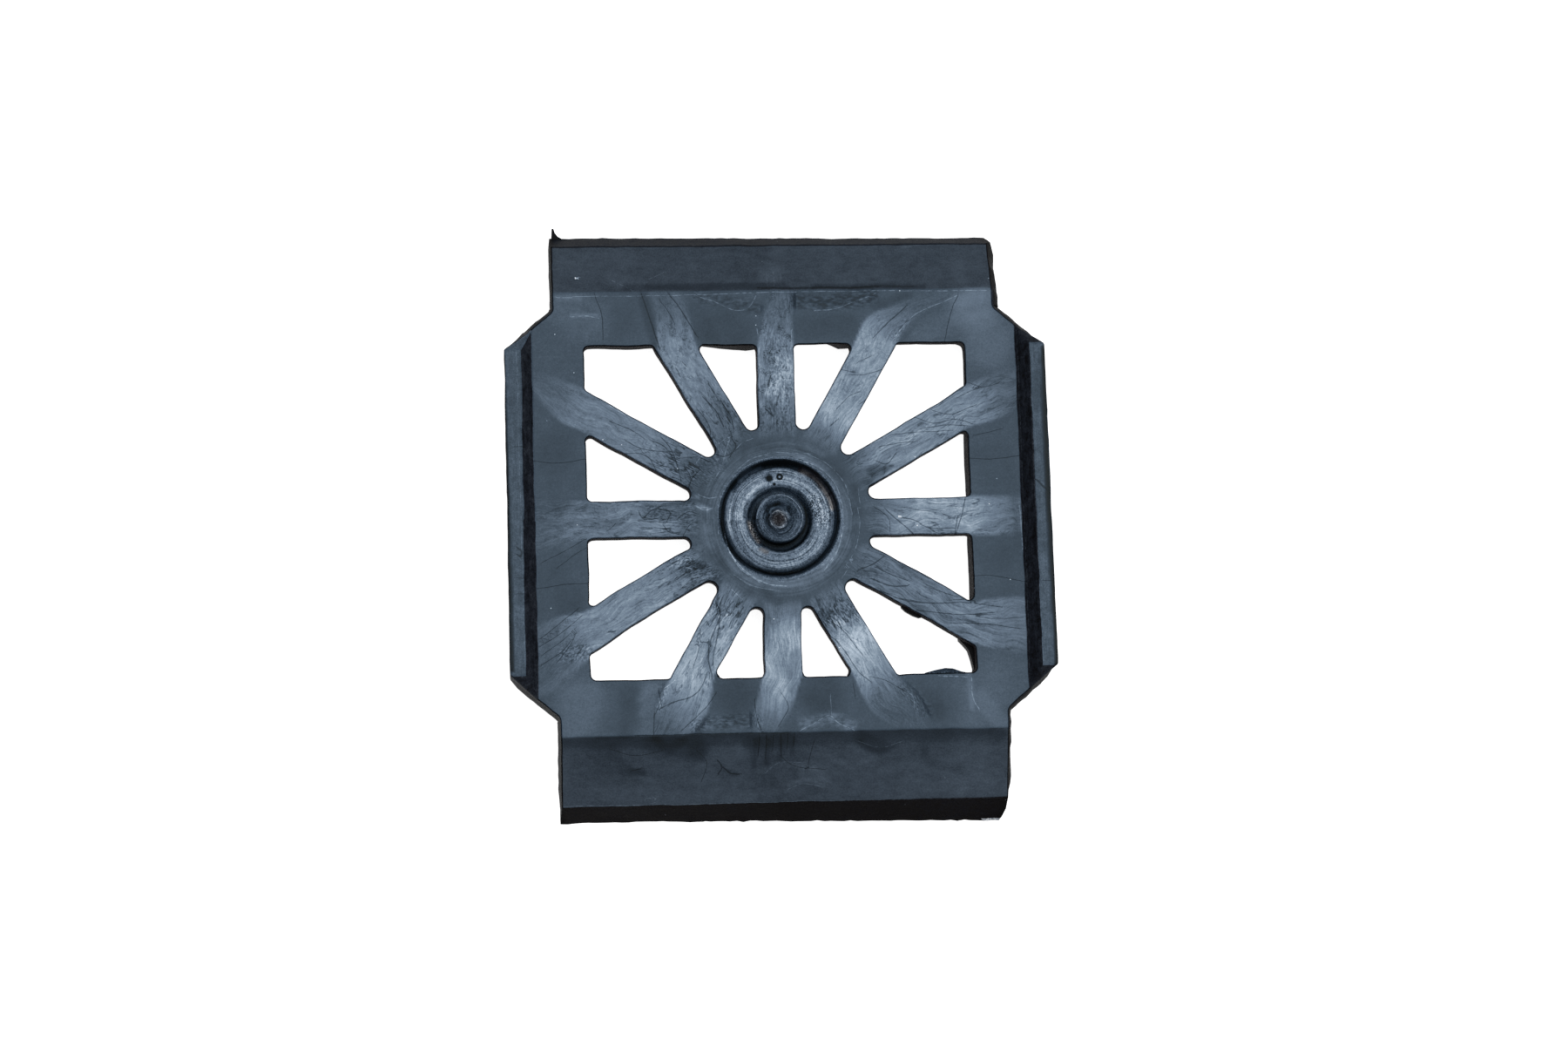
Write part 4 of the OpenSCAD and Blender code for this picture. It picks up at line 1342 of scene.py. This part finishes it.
# %% Flakes of flash
# For each: the height of its top and its thickness in mm, its finish, its outline
FLAKES = {
    "flash_far_horn": (1.5, 1.3, "flash_dark", 632.5, 283, 632.8, 272, 633.2, 262.5, 635.2, 262.5, 636.8,
        267.5, 640, 271.5, 645.5, 274.7, 656, 276.2, 657, 282),
    "flash_near_spike": (1.3, 1.2, "flash_dark", 642.5, 925, 644.5, 936, 646.8, 947, 649, 944, 655, 942.5,
        655, 925),
    "flash_near_rag": (1.0, 0.7, "flash_pale", 1124, 938, 1128, 941.5, 1134, 942.5, 1140, 941, 1146, 942,
        1150, 938, 1152, 934, 1148, 926, 1126, 926),
    "flash_window_lip": (17.25, 2.2, "flash_slate", 1062, 772.5, 1075, 769, 1085, 767, 1094, 767.5, 1104,
        771, 1112, 772.5, 1113, 780, 1062, 780),
    "flash_flap_1": (16.9, 1.5, "flash_slate", 820.5, 774, 823, 776.5, 827, 780, 832, 782.5, 832, 786, 817,
        786, 817, 774),
    "flash_flap_2": (16.9, 1.2, "flash_pale", 880, 775, 874, 778.5, 868, 782, 868, 786, 881, 786),
    "flash_flap_3": (16.9, 1.5, "flash_slate", 915, 774, 919, 779, 928, 783, 928, 786, 914, 786),
    "flash_flap_4": (16.9, 1.2, "flash_pale", 980, 776, 974, 779, 966, 782, 966, 786, 982, 786),
    "flash_under_spoke": (15.0, 2.0, "flash_dark", 1034, 692, 1042, 698, 1050, 702, 1062, 708, 1055, 709.5,
        1048, 707, 1040, 702.5, 1035, 698),
    "flash_window_edge": (13.0, 4.0, "flash_dark", 1101, 728, 1108, 731, 1114, 735, 1119, 741, 1122, 769,
        1118.5, 769, 1115.5, 757, 1112, 746.5, 1106, 739.5, 1101.5, 735),
    "fleck_apron": (16.2, 0.6, "fleck_white", 659.6, 318.4, 665, 318.6, 664.8, 320.6, 659.8, 320.4),
    "fleck_spoke": (17.56, 0.3, "fleck_white", 1030.6, 591.6, 1035.4, 592.4, 1035, 594.4, 1031, 594)}


def flake(name, top_z, thick, finish, *pixels):
    """A flat flake from an outline in pixels at the height of its top."""
    outline = [(*(place * MM), top_z * MM) for place in spots(pixels, top_z)]
    mesh = bpy.data.meshes.new(name)
    mesh.from_pydata(outline, [], [range(len(outline))])
    piece = bpy.data.objects.new(name, mesh)
    bpy.context.scene.collection.objects.link(piece)
    only(piece)
    pick(piece, "FACE")
    bpy.ops.mesh.extrude_region_move(TRANSFORM_OT_translate={"value": (0, 0, -thick * MM)})
    bpy.ops.mesh.select_all(action="SELECT")
    bpy.ops.mesh.normals_make_consistent(inside=False)
    bpy.ops.mesh.bevel(offset=0.08 * MM, segments=1, affect="EDGES")
    mesh.materials.append(bpy.data.materials[finish])
    report(piece, name)
    return piece


pieces = [pad] + [flake(name, *facts) for name, facts in FLAKES.items()]

# %% [markdown]
# The pad stands on a plain white floor. The photograph's ground is pure white,
# so the floor adds its own white for the camera and for reflections, and what
# is left of its shading keeps the pad's shadow.

# %% Floor
bpy.ops.object.select_all(action="DESELECT")
bpy.ops.mesh.primitive_plane_add(size=6, location=(0, 0, -0.02 * MM))
floor = bpy.context.view_layer.objects.active
floor.name = "floor"
white = bpy.data.materials.new("white_floor")
white.use_nodes = True
tree = white.node_tree
shader = tree.nodes["Principled BSDF"]
feed(shader.inputs, {"Base Color": (0.8, 0.8, 0.8, 1), "Roughness": 0.9, "Specular IOR Level": 0.0})
ray = node(tree, "LightPath")
seen = ray["Is Camera Ray"].step("MAXIMUM", ray["Is Glossy Ray"])
seen = seen.step("MAXIMUM", ray["Is Transmission Ray"])
glow = node(tree, "Emission", {"Color": (1, 1, 1, 1), "Strength": seen * 0.88})[0]
both = node(tree, "AddShader", {0: Value(shader.outputs[0]), 1: glow})[0]
feed(tree.nodes["Material Output"].inputs, {0: both})
floor.data.materials.append(white)
print("floor:", len(tree.nodes), "nodes")

# %% [markdown]
# The photograph has no hard shadow. So the light is a broad soft box overhead
# and an even world, set so that a face that looks up shows its colour about as
# written.

# %% Light
world = bpy.data.worlds.new("even_light")
world.use_nodes = True
feed(world.node_tree.nodes["Background"].inputs, {"Color": (1, 1, 1, 1), "Strength": 0.45})
bpy.context.scene.world = world

box = bpy.data.lights.new("soft_box", "AREA")
box.shape, box.size = "SQUARE", 0.9
box.energy = 8.5
lamp = bpy.data.objects.new("soft_box", box)
bpy.context.scene.collection.objects.link(lamp)
lamp.location = (0.12, 0.15, 1.2)
lamp.rotation_euler = (-lamp.location).to_track_quat("-Z", "Y").to_euler()

bpy.context.scene.view_settings.view_transform = "Standard"
print("world and soft box are set")

# %% [markdown]
# Last, each piece rides on the pad's only body, and the imported node is hidden,
# since the pieces stand for it.

# %% Ties to the body
for piece in pieces:
    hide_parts("pad")
    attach(piece, "root")
